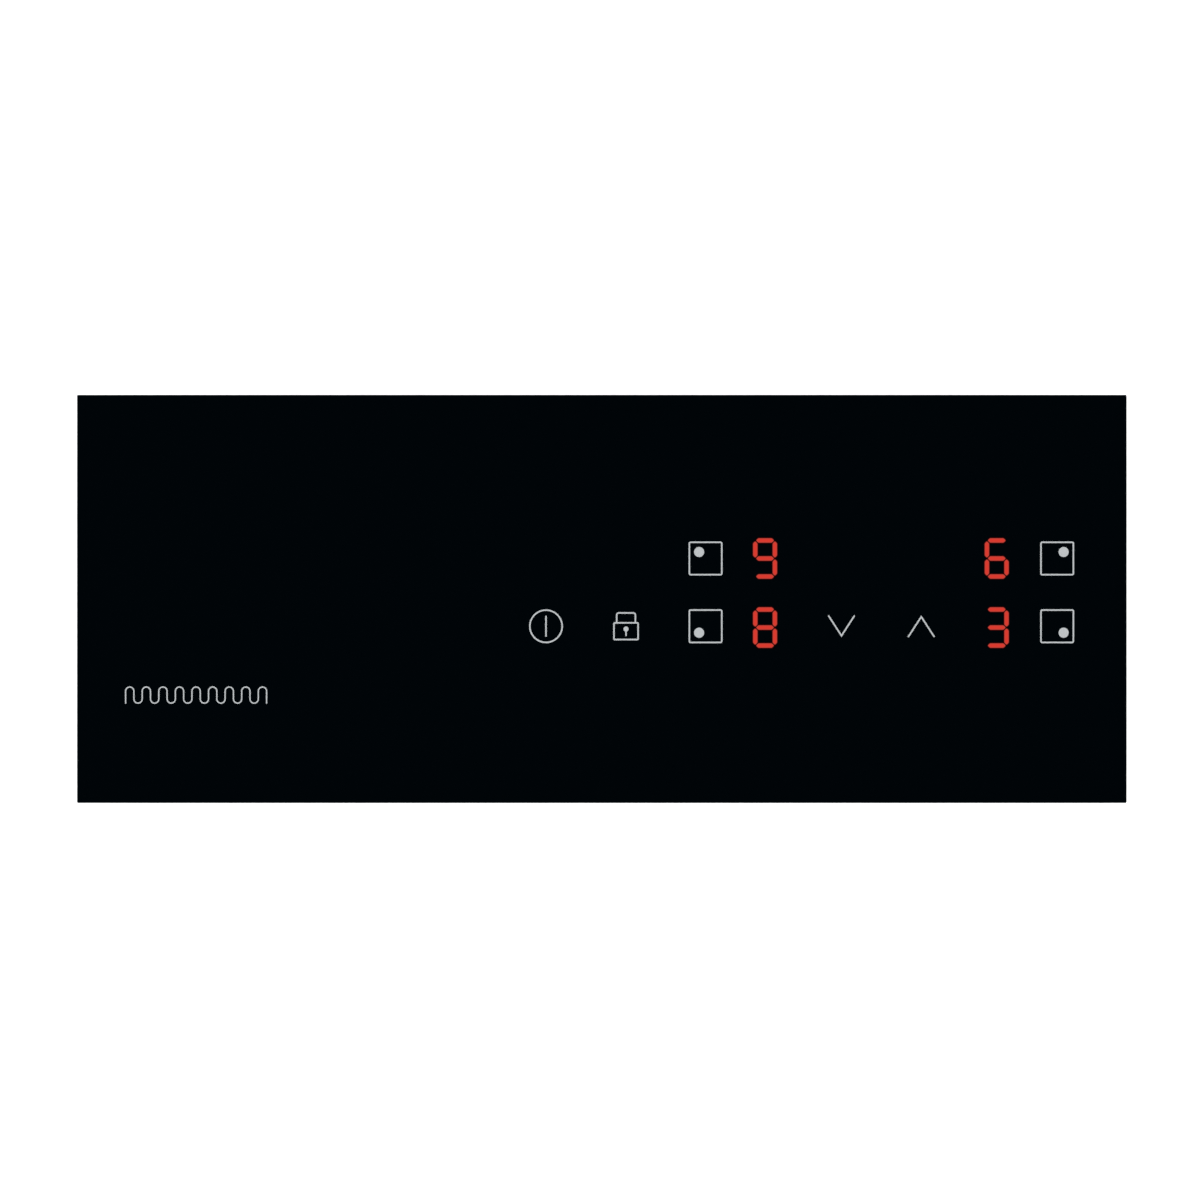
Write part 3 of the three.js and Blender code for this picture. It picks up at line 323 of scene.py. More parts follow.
# Child-lock key: a padlock with a square shackle and a keyhole
lock_margin = Vector((print_margin, print_margin))
lock_low, lock_high = (v.xy + way * lock_margin for v, way in zip(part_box("lock_key_mark"), (1, -1)))
lock_body_height = 15.6 * MM
lock_body_corner = 1.3 * MM
shackle_half = 8.0 * MM
shackle_bend = 1.7 * MM
keyhole_rise = 1.9 * MM
keyhole_radius = 2.15 * MM
keyhole_stem = 6.1 * MM
keyhole_steps = 16
keyhole_tip = 0.15 * MM
lock_x = middle("lock_key_mark").x
lock_body_top = lock_low.y + lock_body_height
lock_body_high = Vector((lock_high.x, lock_body_top))
bend_x = shackle_half - shackle_bend
bend_y = lock_high.y - print_line / 2 - shackle_bend
shackle = [Vector((lock_x - shackle_half, lock_body_top))]
shackle += arc((lock_x - bend_x, bend_y), shackle_bend, 180, 90, 6)
shackle += arc((lock_x + bend_x, bend_y), shackle_bend, 90, 0, 6)
shackle += [Vector((lock_x + shackle_half, lock_body_top))]

# The keyhole is one strip from top to foot: a round eye, then a stem that narrows at its end
keyhole_centre = lock_low.y + lock_body_height / 2 + keyhole_rise
keyhole_path = []
keyhole_halves = []
for i in range(keyhole_steps + 1):
    rise = keyhole_radius * (1 - 2 * i / keyhole_steps)
    if keyhole_radius**2 - rise**2 < (print_line / 2) ** 2 and rise < 0:
        break
    keyhole_path.append(Vector((lock_x, keyhole_centre + rise)))
    keyhole_halves.append(max(math.sqrt(max(keyhole_radius**2 - rise**2, 0)), keyhole_tip))
stem_points = (
    (keyhole_radius, print_line / 2), (keyhole_stem - 0.6 * MM, print_line / 2),
    (keyhole_stem - 0.2 * MM, print_line / 3), (keyhole_stem, print_line / 8),
)
for drop, half in stem_points:
    keyhole_path.append(Vector((lock_x, keyhole_centre - drop)))
    keyhole_halves.append(half)
build_piece(
    "lock_key", [
        band(
            rounded_rectangle(lock_low, lock_body_high, lock_body_corner),
            rounded_rectangle(lock_low, lock_body_high, lock_body_corner, inset=print_line),
            print_levels,
        ),
        stroke(shackle, print_line, print_levels, round_ends=False),
        strip(keyhole_path, keyhole_halves, print_levels),
    ],
    fired_enamel, stands_for=["lock_key_mark"],
)

# Level keys: a chevron down and a chevron up
chevron_half = 10.95 * MM
chevron_height = 16.9 * MM
chevron_shift = 0.9 * MM
for name, way in (("level_down_key", -1), ("level_up_key", 1)):
    node = name + "_mark"
    spot = middle(node) - Vector((0, way * chevron_shift))
    tip = spot + Vector((0, way * chevron_height / 2))
    feet = [spot + Vector((side * chevron_half, -way * chevron_height / 2)) for side in (-1, 1)]
    build_piece(
        name, [stroke([feet[0], tip, feet[1]], print_line, print_levels)],
        fired_enamel, stands_for=[node],
    )

# Zone keys: a square for the plate, with a dot towards the corner where the zone lies
zone_square_corner = 2.0 * MM
zone_dot_radius = 4.3 * MM
zone_dot_offset = 5.55 * MM
for row, rearward in (("rear", 1), ("front", -1)):
    for end, rightward in (("left", -1), ("right", 1)):
        node = f"zone_key_mark_{row}_{end}"
        low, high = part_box(node)
        dot = middle(node) + Vector((rightward, rearward)) * zone_dot_offset
        build_piece(
            f"zone_key_{row}_{end}", [
                band(
                    rounded_rectangle(low, high, zone_square_corner, inset=print_margin),
                    rounded_rectangle(low, high, zone_square_corner, inset=print_margin + print_line),
                    print_levels,
                ),
                prism(circle(dot, zone_dot_radius), print_levels),
            ],
            fired_enamel, stands_for=[node],
        )

# Coil mark: the circuit symbol of a winding, one line that runs up and down in round turns
coil_mark_bends = 17
coil_mark_line = 1.05 * MM
low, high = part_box("coil_mark")
bend = (high.x - low.x - coil_mark_line) / coil_mark_bends / 2
x = low.x + coil_mark_line / 2
top = high.y - coil_mark_line / 2 - bend
foot = low.y + coil_mark_line / 2 + bend
line = [Vector((x, low.y + coil_mark_line / 2))]
for i in range(coil_mark_bends):
    centre = (x + bend, top if i % 2 == 0 else foot)
    line += arc(centre, bend, 180, 0) if i % 2 == 0 else arc(centre, bend, 180, 360)
    x += 2 * bend
line.append(Vector((x, low.y + coil_mark_line / 2)))
build_piece(
    "coil_symbol", [stroke(line, coil_mark_line, print_levels)],
    fired_enamel, stands_for=["coil_mark"],
)

# ---- Lit digits ----
# Four seven-segment figures, whose red light comes through the plate. A bar narrows to a blunt tip
# at both ends, glows evenly, and has a dim haze round it where the light spreads in the glass.

digit_bar = 3.45 * MM
bar_lengths = {"flat": 14.6 * MM, "upright": 13.3 * MM}
bar_tip = 2.0 * MM
bar_bluntness = 1.45
bar_end_steps = 10
digit_half_width = 8.4 * MM
digit_half_height = 15.45 * MM
digit_levels = {"flat": (0.0, 0.04 * MM), "upright": (0.008 * MM, 0.04 * MM)}
digit_shift = {"rear": Vector((-0.4 * MM, 0)), "front": Vector((-0.4 * MM, -1.1 * MM))}
figures = {"rear_left": 9, "front_left": 8, "rear_right": 6, "front_right": 3}
bars_of = {9: "top middle bottom left_high right_high right_low",
           8: "top middle bottom left_high left_low right_high right_low",
           6: "top middle bottom left_high left_low right_low",
           3: "top middle bottom right_high right_low"}
bar_places = {"top": ("flat", 0, 1), "middle": ("flat", 0, 0), "bottom": ("flat", 0, -1),
              "left_high": ("upright", -1, 0.5), "left_low": ("upright", -1, -0.5),
              "right_high": ("upright", 1, 0.5), "right_low": ("upright", 1, -0.5)}


def bar_outline(spot, lie, inset):
    """A bar whose ends narrow to a blunt tip, moved inwards by inset."""
    half, radius = bar_lengths[lie] / 2 - inset, digit_bar / 2 - inset
    tip = bar_tip - inset / 2
    points = []
    for end in (1, -1):
        for i in range(bar_end_steps + 1):
            angle = math.radians(-90 + 180 * i / bar_end_steps)
            along = half - tip * (1 - abs(math.cos(angle)) ** bar_bluntness)
            across = radius * math.copysign(abs(math.sin(angle)) ** bar_bluntness, math.sin(angle))
            points.append((end * along, end * across))
    if lie == "upright":
        points = [(-y, x) for x, y in points]
    return [(spot.x + x, spot.y + y) for x, y in points]


# Light of red diodes through dark glass. It glows by itself under the plate's own gloss, and takes
# its colour from the distance to the bar's rim: clear red inside, paler on the rim, dark outside.
red_light = new_finish("red_diode_light", 0x000000, 0.05, sockets={"IOR": 1.54})
core = add_node(red_light, "Attribute", {"attribute_name": "core"}, {})
glow = add_node(red_light, "ValToRGB", {}, {"Fac": core.outputs["Fac"]})
glow_stops = ((0.0, 0x120103), (0.3, 0x500400), (0.5, 0xB8443A), (1.0, 0xDA3A2E))
set_stops(glow, [(share, linear(colour)) for share, colour in glow_stops])
red_shader = red_light.node_tree.nodes["Principled BSDF"]
red_light.node_tree.links.new(glow.outputs["Color"], red_shader.inputs["Emission Color"])
red_shader.inputs["Emission Strength"].default_value = 1.0

# From the haze inwards: (inset in millimetres, height as a share, brightness)
glow_lift = 0.004 * MM
glow_rings = ((-0.8, 0.0, 0.0), (-0.3, 0.2, 0.3), (0.0, 0.4, 0.5), (0.45, 0.8, 0.8), (0.9, 1.0, 1.0))
for place_name, figure in figures.items():
    spot = middle("display_" + place_name) + digit_shift[place_name.split("_")[0]]
    skins = []
    brightness = []
    for bar in bars_of[figure].split():
        lie, x_share, y_share = bar_places[bar]
        at = spot + Vector((x_share * digit_half_width, y_share * digit_half_height))
        low, high = (glass_high.z + level for level in digit_levels[lie])
        outline = bar_outline(at, lie, glow_rings[0][0] * MM)
        rings = [at_level(outline, glass_high.z)]
        brightness += [0.0] * len(outline)
        for inset, share, light in glow_rings:
            outline = bar_outline(at, lie, inset * MM)
            rings.append(at_level(outline, low + glow_lift + share * (high - low - glow_lift)))
            brightness += [light] * len(outline)
        skins.append(loft(rings))
    digit = build_piece("digit_" + place_name, skins, red_light)
    digit.data.attributes.new("core", "FLOAT", "POINT").data.foreach_set("value", brightness)

# ---- Worktop seal ----
# A flat ring of black closed-cell foam tape under the rim of the plate. It takes up the unevenness
# of the worktop and keeps spills out.

foam = new_finish("closed_cell_foam", 0x18191B, 0.95)
place = add_node(foam, "TexCoord", {}, {})
cells = add_node(foam, "TexVoronoi", {"Scale": 1 / (0.6 * MM)}, {"Vector": place.outputs["Object"]})
apply_pattern(
    foam, cells.outputs["Distance"],
    shades=((0.1, 0x101113), (0.7, 0x1E2022)), roughness=(0.85, 1.0), relief=0.12 * MM,
)

seal_low, seal_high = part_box("worktop_seal")
seal_width = 7.0 * MM
seal_corner = 2.0 * MM
seal_round = 0.5 * MM


def ring_of_section(low, high, corner, section):
    """A closed ring round a rectangle. Section is a loop of (distance from the outside, height)."""
    rings = [at_level(rounded_rectangle(low, high, corner, inset=i), z) for i, z in section]
    return loft(rings, looped=True)


def soft_section(width, low, high, radius, steps=4):
    """The loop of a strip's section whose four corners are rounded."""
    corners = rounded_rectangle((0, low), (width, high), radius, steps)
    return list(reversed(corners))


seal_section = soft_section(seal_width, seal_low.z, seal_high.z, seal_round)
build_piece(
    "foam_seal", [ring_of_section(seal_low, seal_high, seal_corner, seal_section)],
    foam, stands_for=["worktop_seal"],
)

# ---- Adhesive and mounting frame ----
# A bead of black silicone holds the plate on an angle frame of 1 mm steel, which is bent, welded at
# its corners and powder-coated black.

cured_silicone = new_finish("cured_black_silicone", 0x222426, 0.42)
place = add_node(cured_silicone, "TexCoord", {}, {})
waves = add_node(
    cured_silicone, "TexNoise", {"Scale": 1 / (4 * MM)}, {"Vector": place.outputs["Object"]},
)
apply_pattern(
    cured_silicone, waves.outputs["Fac"],
    shades=((0.3, 0x1C1E20), (0.7, 0x282A2C)), roughness=(0.34, 0.5), relief=0.1 * MM,
)

# Powder coat has the shallow waves of orange peel, about 1 mm apart, and a soft half gloss.
powder_coat = new_finish("black_powder_coat", 0x1A1B1D, 0.45)
place = add_node(powder_coat, "TexCoord", {}, {})
peel = add_node(
    powder_coat, "TexNoise", {"Scale": 1 / (1.0 * MM), "Detail": 1},
    {"Vector": place.outputs["Object"]},
)
apply_pattern(
    powder_coat, peel.outputs["Fac"],
    shades=((0.3, 0x161719), (0.7, 0x1F2022)), roughness=(0.38, 0.52), relief=0.03 * MM,
)

bead_low, bead_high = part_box("glass_adhesive")
bead_width = 6.0 * MM
bead_corner = 5.0 * MM
bead_round = 0.3 * MM
bead_section = soft_section(bead_width, bead_low.z, bead_high.z, bead_round)
build_piece(
    "silicone_bead", [ring_of_section(bead_low, bead_high, bead_corner, bead_section)],
    cured_silicone, stands_for=["glass_adhesive"],
)

bodies = frame["record"]["behaviour"]["bodies"]
body_of = {node: body for body, nodes in bodies.items() for node in nodes}
same_point = 0.002 * MM
same_face = math.radians(0.5)
sharp_edge = math.radians(50)
sheet_round = 0.12 * MM


def refined(node, finish, rounding, segments=2):
    """A copy of a solid with its sharp edges rounded, which stands for it."""
    mesh = bmesh.new()
    mesh.from_mesh(frame["nodes"][node].data)
    bmesh.ops.remove_doubles(mesh, verts=mesh.verts, dist=same_point)
    bmesh.ops.dissolve_limit(
        mesh, angle_limit=same_face, use_dissolve_boundaries=False,
        verts=mesh.verts, edges=mesh.edges,
    )
    sharp = [e for e in mesh.edges if e.is_manifold and e.calc_face_angle(0) > sharp_edge]
    bmesh.ops.bevel(
        mesh, geom=sharp, offset=rounding, segments=segments, profile=0.5,
        affect="EDGES", clamp_overlap=True,
    )
    return show_piece(node + "_made", mesh, finish, body_of[node], [node])


refined("mounting_frame", powder_coat, sheet_round)

# ---- Bottom tub ----
# Drawn from 0.8 mm galvanised sheet: floor, walls, clamp pockets and pillars are one pressing, with
# punched slots. The zinc has set in fine faint crystals, the spangle, about 4 mm across.

galvanised = new_finish("hot_dip_galvanised_sheet", 0xA3A8AB, 0.4, metallic=1.0)
place = add_node(galvanised, "TexCoord", {}, {})
spangle = add_node(
    galvanised, "TexVoronoi", {"Scale": 1 / (4 * MM)}, {"Vector": place.outputs["Object"]},
)
tone = add_node(galvanised, "SeparateColor", {}, {"Color": spangle.outputs["Color"]})
apply_pattern(
    galvanised, tone.outputs["Red"],
    shades=((0.0, 0x9CA1A4), (1.0, 0xABB0B3)), roughness=(0.36, 0.46),
)
rolling = add_node(
    galvanised, "TexNoise", {"Scale": 1 / (0.7 * MM)}, {"Vector": place.outputs["Object"]},
)
apply_pattern(galvanised, rolling.outputs["Fac"], relief=0.006 * MM)
refined("bottom_tub", galvanised, sheet_round, segments=1)

# ---- Coils ----
# Each zone is a flat spiral of stranded enamelled copper wire on a plastic carrier with ferrite
# ribs. A white sensor sits in its eye, a mica sheet lies over it, and a tray of aluminium under it.

# Stranded copper wire, each strand enamelled: warm, glossy, and ropy with strands 0.8 mm apart,
# coarser than the real ones so that they show.
litz_wire = new_finish(
    "enamelled_stranded_copper", 0xB4622F, 0.34, metallic=1.0, sockets={"Coat Weight": 0.4},
)
place = add_node(litz_wire, "TexCoord", {}, {})
strands = add_node(
    litz_wire, "TexNoise", {"Scale": 1 / (0.8 * MM), "Detail": 3},
    {"Vector": place.outputs["Object"]},
)
apply_pattern(
    litz_wire, strands.outputs["Fac"],
    shades=((0.3, 0x9A4E25), (0.7, 0xC9763F)), roughness=(0.26, 0.42), relief=0.06 * MM,
)


def moulded_plastic(name, dark, light):
    """Injection-moulded plastic with a spark-eroded face: an even 0.4 mm grain, half matt."""
    finish = new_finish(name, dark, 0.55)
    place = add_node(finish, "TexCoord", {}, {})
    grain = add_node(
        finish, "TexNoise", {"Scale": 1 / (0.4 * MM)}, {"Vector": place.outputs["Object"]},
    )
    apply_pattern(
        finish, grain.outputs["Fac"],
        shades=((0.3, dark), (0.7, light)), roughness=(0.48, 0.64), relief=0.02 * MM,
    )
    return finish


black_plastic = moulded_plastic("moulded_black_pbt", 0x1B1C1E, 0x222326)
grey_plastic = moulded_plastic("moulded_grey_nylon", 0x686D71, 0x767B7F)

# Unglazed steatite: chalky white with a fine grain.
steatite = new_finish("unglazed_steatite", 0xE2E0D9, 0.7)
place = add_node(steatite, "TexCoord", {}, {})
chalk = add_node(steatite, "TexNoise", {"Scale": 1 / (0.5 * MM)}, {"Vector": place.outputs["Object"]})
apply_pattern(
    steatite, chalk.outputs["Fac"],
    shades=((0.3, 0xD8D5CC), (0.7, 0xEAE8E2)), roughness=(0.62, 0.78), relief=0.02 * MM,
)

# Mica paper pressed with silicone resin: silvery tan flakes, some 3 mm across.
mica_paper = new_finish("pressed_mica_paper", 0xB3A98F, 0.5)
place = add_node(mica_paper, "TexCoord", {}, {})
flakes = add_node(
    mica_paper, "TexVoronoi", {"Scale": 1 / (3 * MM)}, {"Vector": place.outputs["Object"]},
)
flake_tone = add_node(mica_paper, "SeparateColor", {}, {"Color": flakes.outputs["Color"]})
apply_pattern(
    mica_paper, flake_tone.outputs["Green"],
    shades=((0.0, 0x9E9479), (1.0, 0xC6BDA5)), roughness=(0.35, 0.65), relief=0.02 * MM,
)

# Mill-finish aluminium: rolled or drawn along X, so its fine lines run that way.
mill_aluminium = new_finish("mill_finish_aluminium", 0xB9BCC0, 0.38, metallic=1.0)
place = add_node(mill_aluminium, "TexCoord", {}, {})
stretch = add_node(
    mill_aluminium, "Mapping", {"Scale": (1 / (45 * MM), 1 / (0.5 * MM), 1 / (0.5 * MM))},
    {"Vector": place.outputs["Object"]},
)
rolled = add_node(
    mill_aluminium, "TexNoise", {"Scale": 1.0, "Detail": 2}, {"Vector": stretch.outputs["Vector"]},
)
apply_pattern(
    mill_aluminium, rolled.outputs["Fac"],
    shades=((0.3, 0xA9ADB1), (0.7, 0xC6C9CC)), roughness=(0.3, 0.46), relief=0.008 * MM,
)


def dress(node, finish):
    """Gives a carried-over solid its finish."""
    frame["nodes"][node].material_slots[0].material = finish


wire_width = 2.0 * MM
wire_gap = 0.1 * MM
wire_steps = 60
wire_side_roundness = 0.6
wire_top_roundness = 0.4
wire_fill = 0.98
coil_eye = 22.0 * MM
moulded_round = 0.3 * MM
tray_round = 0.2 * MM
zones = ("rear_left", "front_left", "rear_right", "front_right")


def wire_section(half_height):
    """The squashed round section of the wire: (outward, upward) at eight points."""
    section = []
    for i in range(8):
        angle = math.radians(45 * i + 22.5)
        outward = math.copysign(abs(math.cos(angle)) ** wire_side_roundness, math.cos(angle))
        upward = math.copysign(abs(math.sin(angle)) ** wire_top_roundness, math.sin(angle))
        section.append((outward * wire_width / 2, upward * half_height))
    return section


for zone in zones:
    node = "coil_winding_" + zone
    low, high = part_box(node)
    centre = Vector((*middle(node), (low.z + high.z) / 2))
    inner_radius = coil_eye + wire_width / 2
    outer_radius = (high.x - low.x) / 2 - wire_width / 2 - wire_gap
    turn_count = int((outer_radius - inner_radius) / (wire_width + wire_gap))
    step_count = turn_count * wire_steps
    section = wire_section((high.z - low.z) / 2 * wire_fill)
    rings = []
    for i in range(step_count + 1):
        angle = 2 * math.pi * i / wire_steps
        radius = inner_radius + (outer_radius - inner_radius) * i / step_count
        away = Vector((math.cos(angle), math.sin(angle), 0))
        rings.append([centre + away * (radius + x) + Vector((0, 0, z)) for x, z in section])
    build_piece(
        "coil_" + zone, [loft(rings)], litz_wire, stands_for=[node],
    )
    refined("coil_carrier_" + zone, grey_plastic, moulded_round)
    refined("temperature_sensor_" + zone, steatite, moulded_round)
dress("mica_sheet", mica_paper)
refined("coil_tray", mill_aluminium, tray_round)

# ---- Touch control ----
# A printed sensor foil is glued under the plate. Below it lie four display modules on a green board
# in a black tray, and a grey flat cable goes down to the power board.

# Polyester foil with a grid of conductive ink, its lines 9 mm apart.
sensor_foil = new_finish("printed_polyester_foil", 0x2B2F33, 0.35)
place = add_node(sensor_foil, "TexCoord", {}, {})
ink_grid = {
    "Scale": 1.0, "Brick Width": 9 * MM, "Row Height": 9 * MM, "Mortar Size": 0.25 * MM,
    "offset": 0.0,
}
ink_lines = add_node(sensor_foil, "TexBrick", ink_grid, {"Vector": place.outputs["Object"]})
apply_pattern(
    sensor_foil, ink_lines.outputs["Fac"],
    shades=((0.0, 0x2B2F33), (1.0, 0x6C7174)), roughness=(0.3, 0.5),
)
dress("touch_sensor_foil", sensor_foil)

# Solder mask over copper: mid green, and paler where the tracks run under it.
solder_mask = new_finish("green_solder_mask", 0x1C5A38, 0.4)
place = add_node(solder_mask, "TexCoord", {}, {})
tracks = add_node(
    solder_mask, "TexBrick",
    {"Scale": 1.0, "Brick Width": 14 * MM, "Row Height": 2.5 * MM, "Mortar Size": 0.45 * MM},
    {"Vector": place.outputs["Object"]},
)
apply_pattern(
    solder_mask, tracks.outputs["Fac"],
    shades=((0.0, 0x164A2E), (1.0, 0x2A7A4C)), roughness=(0.34, 0.46), relief=0.03 * MM,
)
dress("control_board", solder_mask)

# Display body: black epoxy case whose light bars are cast in milky red.
display_case = new_finish("display_case_and_bars", 0x151517, 0.4)
place = add_node(display_case, "TexCoord", {}, {})
height = add_node(display_case, "SeparateXYZ", {}, {"Vector": place.outputs["Object"]})
display_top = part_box("display_rear_left")[1].z
bar_rise = 0.15 * MM
bars_begin = add_node(
    display_case, "Math", {"operation": "GREATER_THAN"}, {0: height.outputs["Z"]},
)
bars_begin.inputs[1].default_value = display_top - bar_rise
apply_pattern(
    display_case, bars_begin.outputs["Value"],
    shades=((0.0, 0x151517), (1.0, 0xB4382E)), roughness=(0.35, 0.5),
)
for zone in zones:
    dress("display_" + zone, display_case)
refined("control_tray", black_plastic, moulded_round)

# Flat cable: grey PVC with a rib for each wire, 1.27 mm apart. The pattern repeats every pi / 10
# of its own unit.
flat_cable = new_finish("grey_pvc_flat_cable", 0x7A7F83, 0.5)
place = add_node(flat_cable, "TexCoord", {}, {})
wires = add_node(
    flat_cable, "TexWave", {"bands_direction": "Y", "Scale": math.pi / 10 / (1.27 * MM)},
    {"Vector": place.outputs["Object"]},
)
apply_pattern(
    flat_cable, wires.outputs["Fac"],
    shades=((0.2, 0x6B7074), (0.8, 0x8B9094)), roughness=(0.45, 0.55), relief=0.15 * MM,
)
dress("ribbon_cable", flat_cable)

# ---- Power modules ----
# Left and right modules mirror each other: a square blower with a centrifugal rotor blows through
# the fins of an extruded heat sink that stands on a green power board.

housing_round = 0.4 * MM
blade_round = 0.15 * MM
for end in ("left", "right"):
    refined("fan_housing_" + end, black_plastic, housing_round)
    refined("fan_rotor_" + end, grey_plastic, blade_round, segments=1)
    dress("power_board_" + end, solder_mask)
    refined("heat_sink_" + end, mill_aluminium, blade_round, segments=1)

# ---- Mains filter and terminals ----
# The mains cable would enter a black plastic chamber, open below and closed by a hinged lid on a
# steel pin. Screw terminals take its cores, and a three-core lead goes on to the filter board.

dress("filter_board", solder_mask)
refined("terminal_box", black_plastic, housing_round)
refined("terminal_block", steatite, moulded_round)
refined("terminal_lid", black_plastic, moulded_round)
refined("strain_relief_saddle", grey_plastic, moulded_round)

# Bright zinc plate over steel: pale blue-grey and glossy, faintly cloudy. Its clouds are finer in
# truth and are drawn 3 mm wide so that they show.
bright_zinc = new_finish("bright_zinc_plate", 0xC3C7CA, 0.26, metallic=1.0)
place = add_node(bright_zinc, "TexCoord", {}, {})
plating = add_node(
    bright_zinc, "TexNoise", {"Scale": 1 / (3 * MM), "Detail": 1}, {"Vector": place.outputs["Object"]},
)
apply_pattern(
    bright_zinc, plating.outputs["Fac"],
    shades=((0.3, 0xB9BDC0), (0.7, 0xCBCED0)), roughness=(0.26, 0.36), relief=0.003 * MM,
)
dress("terminal_lid_pin", bright_zinc)

# Lead of soft black PVC, slightly glossy.
lead_cover = new_finish("soft_black_pvc", 0x1A1A1C, 0.45)
place = add_node(lead_cover, "TexCoord", {}, {})
skin = add_node(lead_cover, "TexNoise", {"Scale": 1 / (2 * MM)}, {"Vector": place.outputs["Object"]})
apply_pattern(lead_cover, skin.outputs["Fac"], roughness=(0.38, 0.52), relief=0.02 * MM)
dress("mains_lead", lead_cover)

# ---- Screws of the housing ----
# Four zinc-plated pan-head screws with a six-lobed recess join the tub to the frame, two in the
# front leg and two in the rear leg.

lobes = 6
recess_radius = 1.5 * MM
recess_wave = 0.22 * MM
recess_chamfer = 0.12 * MM
screw_steps = 48
dome_steps = 5


def turned(profile, steps=screw_steps):
    """A skin of revolution about Z. A profile's point is (radius, height, depth of its lobes)."""
    rings = []
    for radius, z, wave in profile:
        ring = []
        for i in range(steps):
            angle = 2 * math.pi * i / steps
            reach = radius + wave * math.cos(lobes * angle)
            ring.append(Vector((reach * math.cos(angle), reach * math.sin(angle), z)))
        rings.append(ring)
    return loft(rings)


def screw_head(radius, height):
    """Profile of a domed head with a six-lobed recess, from its seat up."""
    seat = [(radius * 0.96, 0, 0), (radius, 0.1 * MM, 0)]
    dome = []
    for i in range(dome_steps + 1):
        angle = math.radians(75 * i / dome_steps)
        inward, upward = math.cos(angle), math.sin(angle)
        dome.append((radius * (0.55 + 0.45 * inward), height * (0.35 + 0.65 * upward), 0))
    recess = [
        (recess_radius * 1.18, height, recess_wave * 0.6),
        (recess_radius, height - recess_chamfer, recess_wave),
        (recess_radius * 0.9, height * 0.35, recess_wave),
        (recess_radius * 0.5, height * 0.22, 0),
    ]
    return seat + dome + recess


def placed(skin, move):
    """A skin of (points, faces) moved by a matrix."""
    points, faces = skin
    return [move @ point for point in points], faces


frame_low, frame_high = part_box("mounting_frame")
housing_screw_x = 379.9 * MM
housing_screw_z = 42.0 * MM
housing_shank = 1.7 * MM
housing_shank_length = 3.4 * MM
housing_head_radius = 3.6 * MM
housing_head_height = 1.8 * MM
head_gap = 0.02 * MM
housing_screw = turned([
    (housing_shank, -housing_shank_length, 0), (housing_shank, -head_gap, 0),
    *screw_head(housing_head_radius, housing_head_height),
])
for row, y, tilt in (("front", frame_low.y, 90), ("rear", frame_high.y, -90)):
    lying = Matrix.Rotation(math.radians(tilt), 4, "X")
    for end, side in (("left", -1), ("right", 1)):
        move = Matrix.Translation((side * housing_screw_x, y, housing_screw_z)) @ lying
        build_piece(
            f"housing_screw_{row}_{end}", [placed(housing_screw, move)],
            bright_zinc,
        )

# ---- Fixing clamps ----
# Four arms of 3 mm zinc-plated steel lie folded in pockets of the tub. Each swings out on a long
# screw, which draws it up against the underside of the worktop.

clamp_round = 0.4 * MM
long_shank = 2.5 * MM
long_tip = 1.0 * MM
thread_from_tip = 1.2 * MM
thread_from_head = 6.0 * MM
thread_pitch = 0.8 * MM
thread_root = 0.86
plain_share = 0.95
long_head_radius = 4.5 * MM
long_head_height = 3.0 * MM
for corner in ("front_left", "front_right", "rear_left", "rear_right"):
    refined("fixing_clamp_" + corner, bright_zinc, clamp_round, segments=3)
    node = "clamp_screw_" + corner
    low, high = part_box(node)
    head_top = low.z + long_head_height
    profile = [(long_shank / 2, high.z, 0), (long_shank, high.z - long_tip, 0)]
    thread_end = head_top + thread_from_head
    z = high.z - thread_from_tip
    while z > thread_end:
        profile += [(long_shank * thread_root, z, 0), (long_shank, z - thread_pitch / 2, 0)]
        z -= thread_pitch
    for z in (thread_end - thread_pitch, head_top + head_gap):
        profile.append((long_shank * plain_share, z, 0))
    for radius, rise, wave in screw_head(long_head_radius, long_head_height):
        profile.append((radius, head_top - rise, wave))
    build_piece(
        "long_screw_" + corner, [placed(turned(profile), Matrix.Translation((*middle(node), 0)))],
        bright_zinc, body="clamp_lift_" + corner, stands_for=[node],
    )

# ---- Floor, light and camera ----
# A plain pale floor under soft daylight from all sides. The sky darkens straight overhead, so the
# polished plate stays black when it is seen from above.

floor_half = 7.0
floor_z = -0.4 * MM
floor_corners = [
    (x * floor_half, y * floor_half, floor_z) for x, y in ((-1, -1), (1, -1), (1, 1), (-1, 1))
]
floor_mesh = bpy.data.meshes.new("floor")
floor_mesh.from_pydata(floor_corners, [], [(0, 1, 2, 3)])
floor = bpy.data.objects.new("floor", floor_mesh)
bpy.context.scene.collection.objects.link(floor)

# A pale painted floor that shines a little by itself, and is clear when it is seen from below.
pale_floor = new_finish("pale_studio_floor", 0xE8E8E8, 0.9, sockets={"Specular IOR Level": 0.0})
floor_shader = pale_floor.node_tree.nodes["Principled BSDF"]
floor_shader.inputs["Emission Color"].default_value = linear(0xFFFFFF)
floor_shader.inputs["Emission Strength"].default_value = 0.8
side = add_node(pale_floor, "NewGeometry", {}, {})
clear = add_node(pale_floor, "BsdfTransparent", {}, {})
one_sided = add_node(pale_floor, "MixShader", {}, {0: side.outputs["Backfacing"]})
pale_floor.node_tree.links.new(floor_shader.outputs["BSDF"], one_sided.inputs[1])
pale_floor.node_tree.links.new(clear.outputs["BSDF"], one_sided.inputs[2])
pale_floor.node_tree.links.new(
    one_sided.outputs["Shader"], pale_floor.node_tree.nodes["Material Output"].inputs["Surface"],
)
floor_mesh.materials.append(pale_floor)

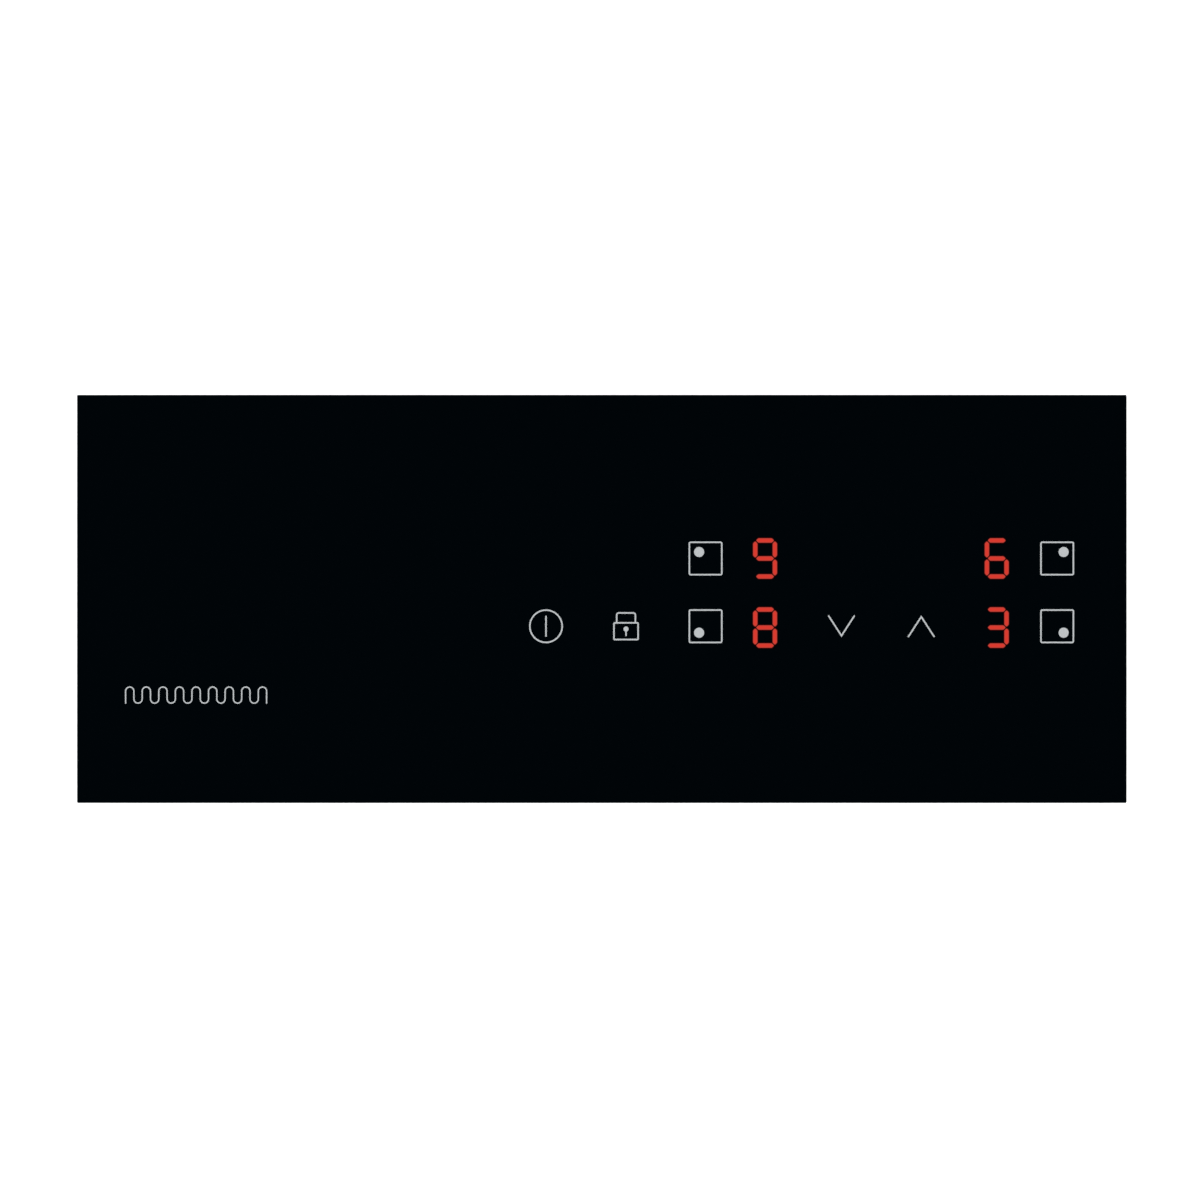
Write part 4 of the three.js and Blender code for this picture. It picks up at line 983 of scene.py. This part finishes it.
sky = bpy.data.worlds.new("soft_sky")
sky.use_nodes = True
bpy.context.scene.world = sky
direction = add_node(sky, "TexCoord", {}, {})
upward = add_node(sky, "SeparateXYZ", {}, {"Vector": direction.outputs["Generated"]})
height = add_node(
    sky, "MapRange", {"From Min": -1.0, "From Max": 1.0}, {"Value": upward.outputs["Z"]},
)
shades = add_node(sky, "ValToRGB", {}, {"Fac": height.outputs["Result"]})
sky_stops = (
    (0.0, (0.75, 0.75, 0.75)), (0.5, (1.0, 1.0, 1.0)), (0.6, (0.9, 0.9, 0.9)),
    (0.7, (0.55, 0.55, 0.55)), (0.8, (0.3, 0.3, 0.3)), (0.9, (0.1, 0.1, 0.1)),
    (0.955, (0.02, 0.025, 0.03)), (0.975, (0.001, 0.013, 0.02)),
)
set_stops(shades, [(share, (*colour, 1.0)) for share, colour in sky_stops])
sky.node_tree.links.new(shades.outputs["Color"], sky.node_tree.nodes["Background"].inputs["Color"])
sky.node_tree.nodes["Background"].inputs["Strength"].default_value = 1.0

# Three large round lamps, which reflections leave out so that the polished plate shows no spots
lamp_height = 1.6
lamp_distance = 2.4
lamp_size = 2.6
for name, angle, power in (("left_lamp", 200, 57), ("right_lamp", -20, 45), ("rear_lamp", 90, 38)):
    lamp_data = bpy.data.lights.new(name, "AREA")
    lamp_data.shape = "DISK"
    lamp_data.size = lamp_size
    lamp_data.energy = power
    lamp = bpy.data.objects.new(name, lamp_data)
    lamp.visible_glossy = False
    bpy.context.scene.collection.objects.link(lamp)
    turn = math.radians(angle)
    lamp.location = (lamp_distance * math.cos(turn), lamp_distance * math.sin(turn), lamp_height)
    lamp.rotation_euler = (-lamp.location).to_track_quat("-Z", "Y").to_euler()

camera_data = bpy.data.cameras.new("camera")
camera_data.lens = 85
camera_data.sensor_width = 36
camera = bpy.data.objects.new("camera", camera_data)
bpy.context.scene.collection.objects.link(camera)
view_width = 1.0287
view_middle = (-1.6 * MM, -0.9 * MM)
camera_distance = view_width * camera_data.lens / camera_data.sensor_width
camera.location = (*view_middle, glass_high.z + camera_distance)
bpy.context.scene.camera = camera
bpy.context.scene.view_settings.view_transform = "Standard"
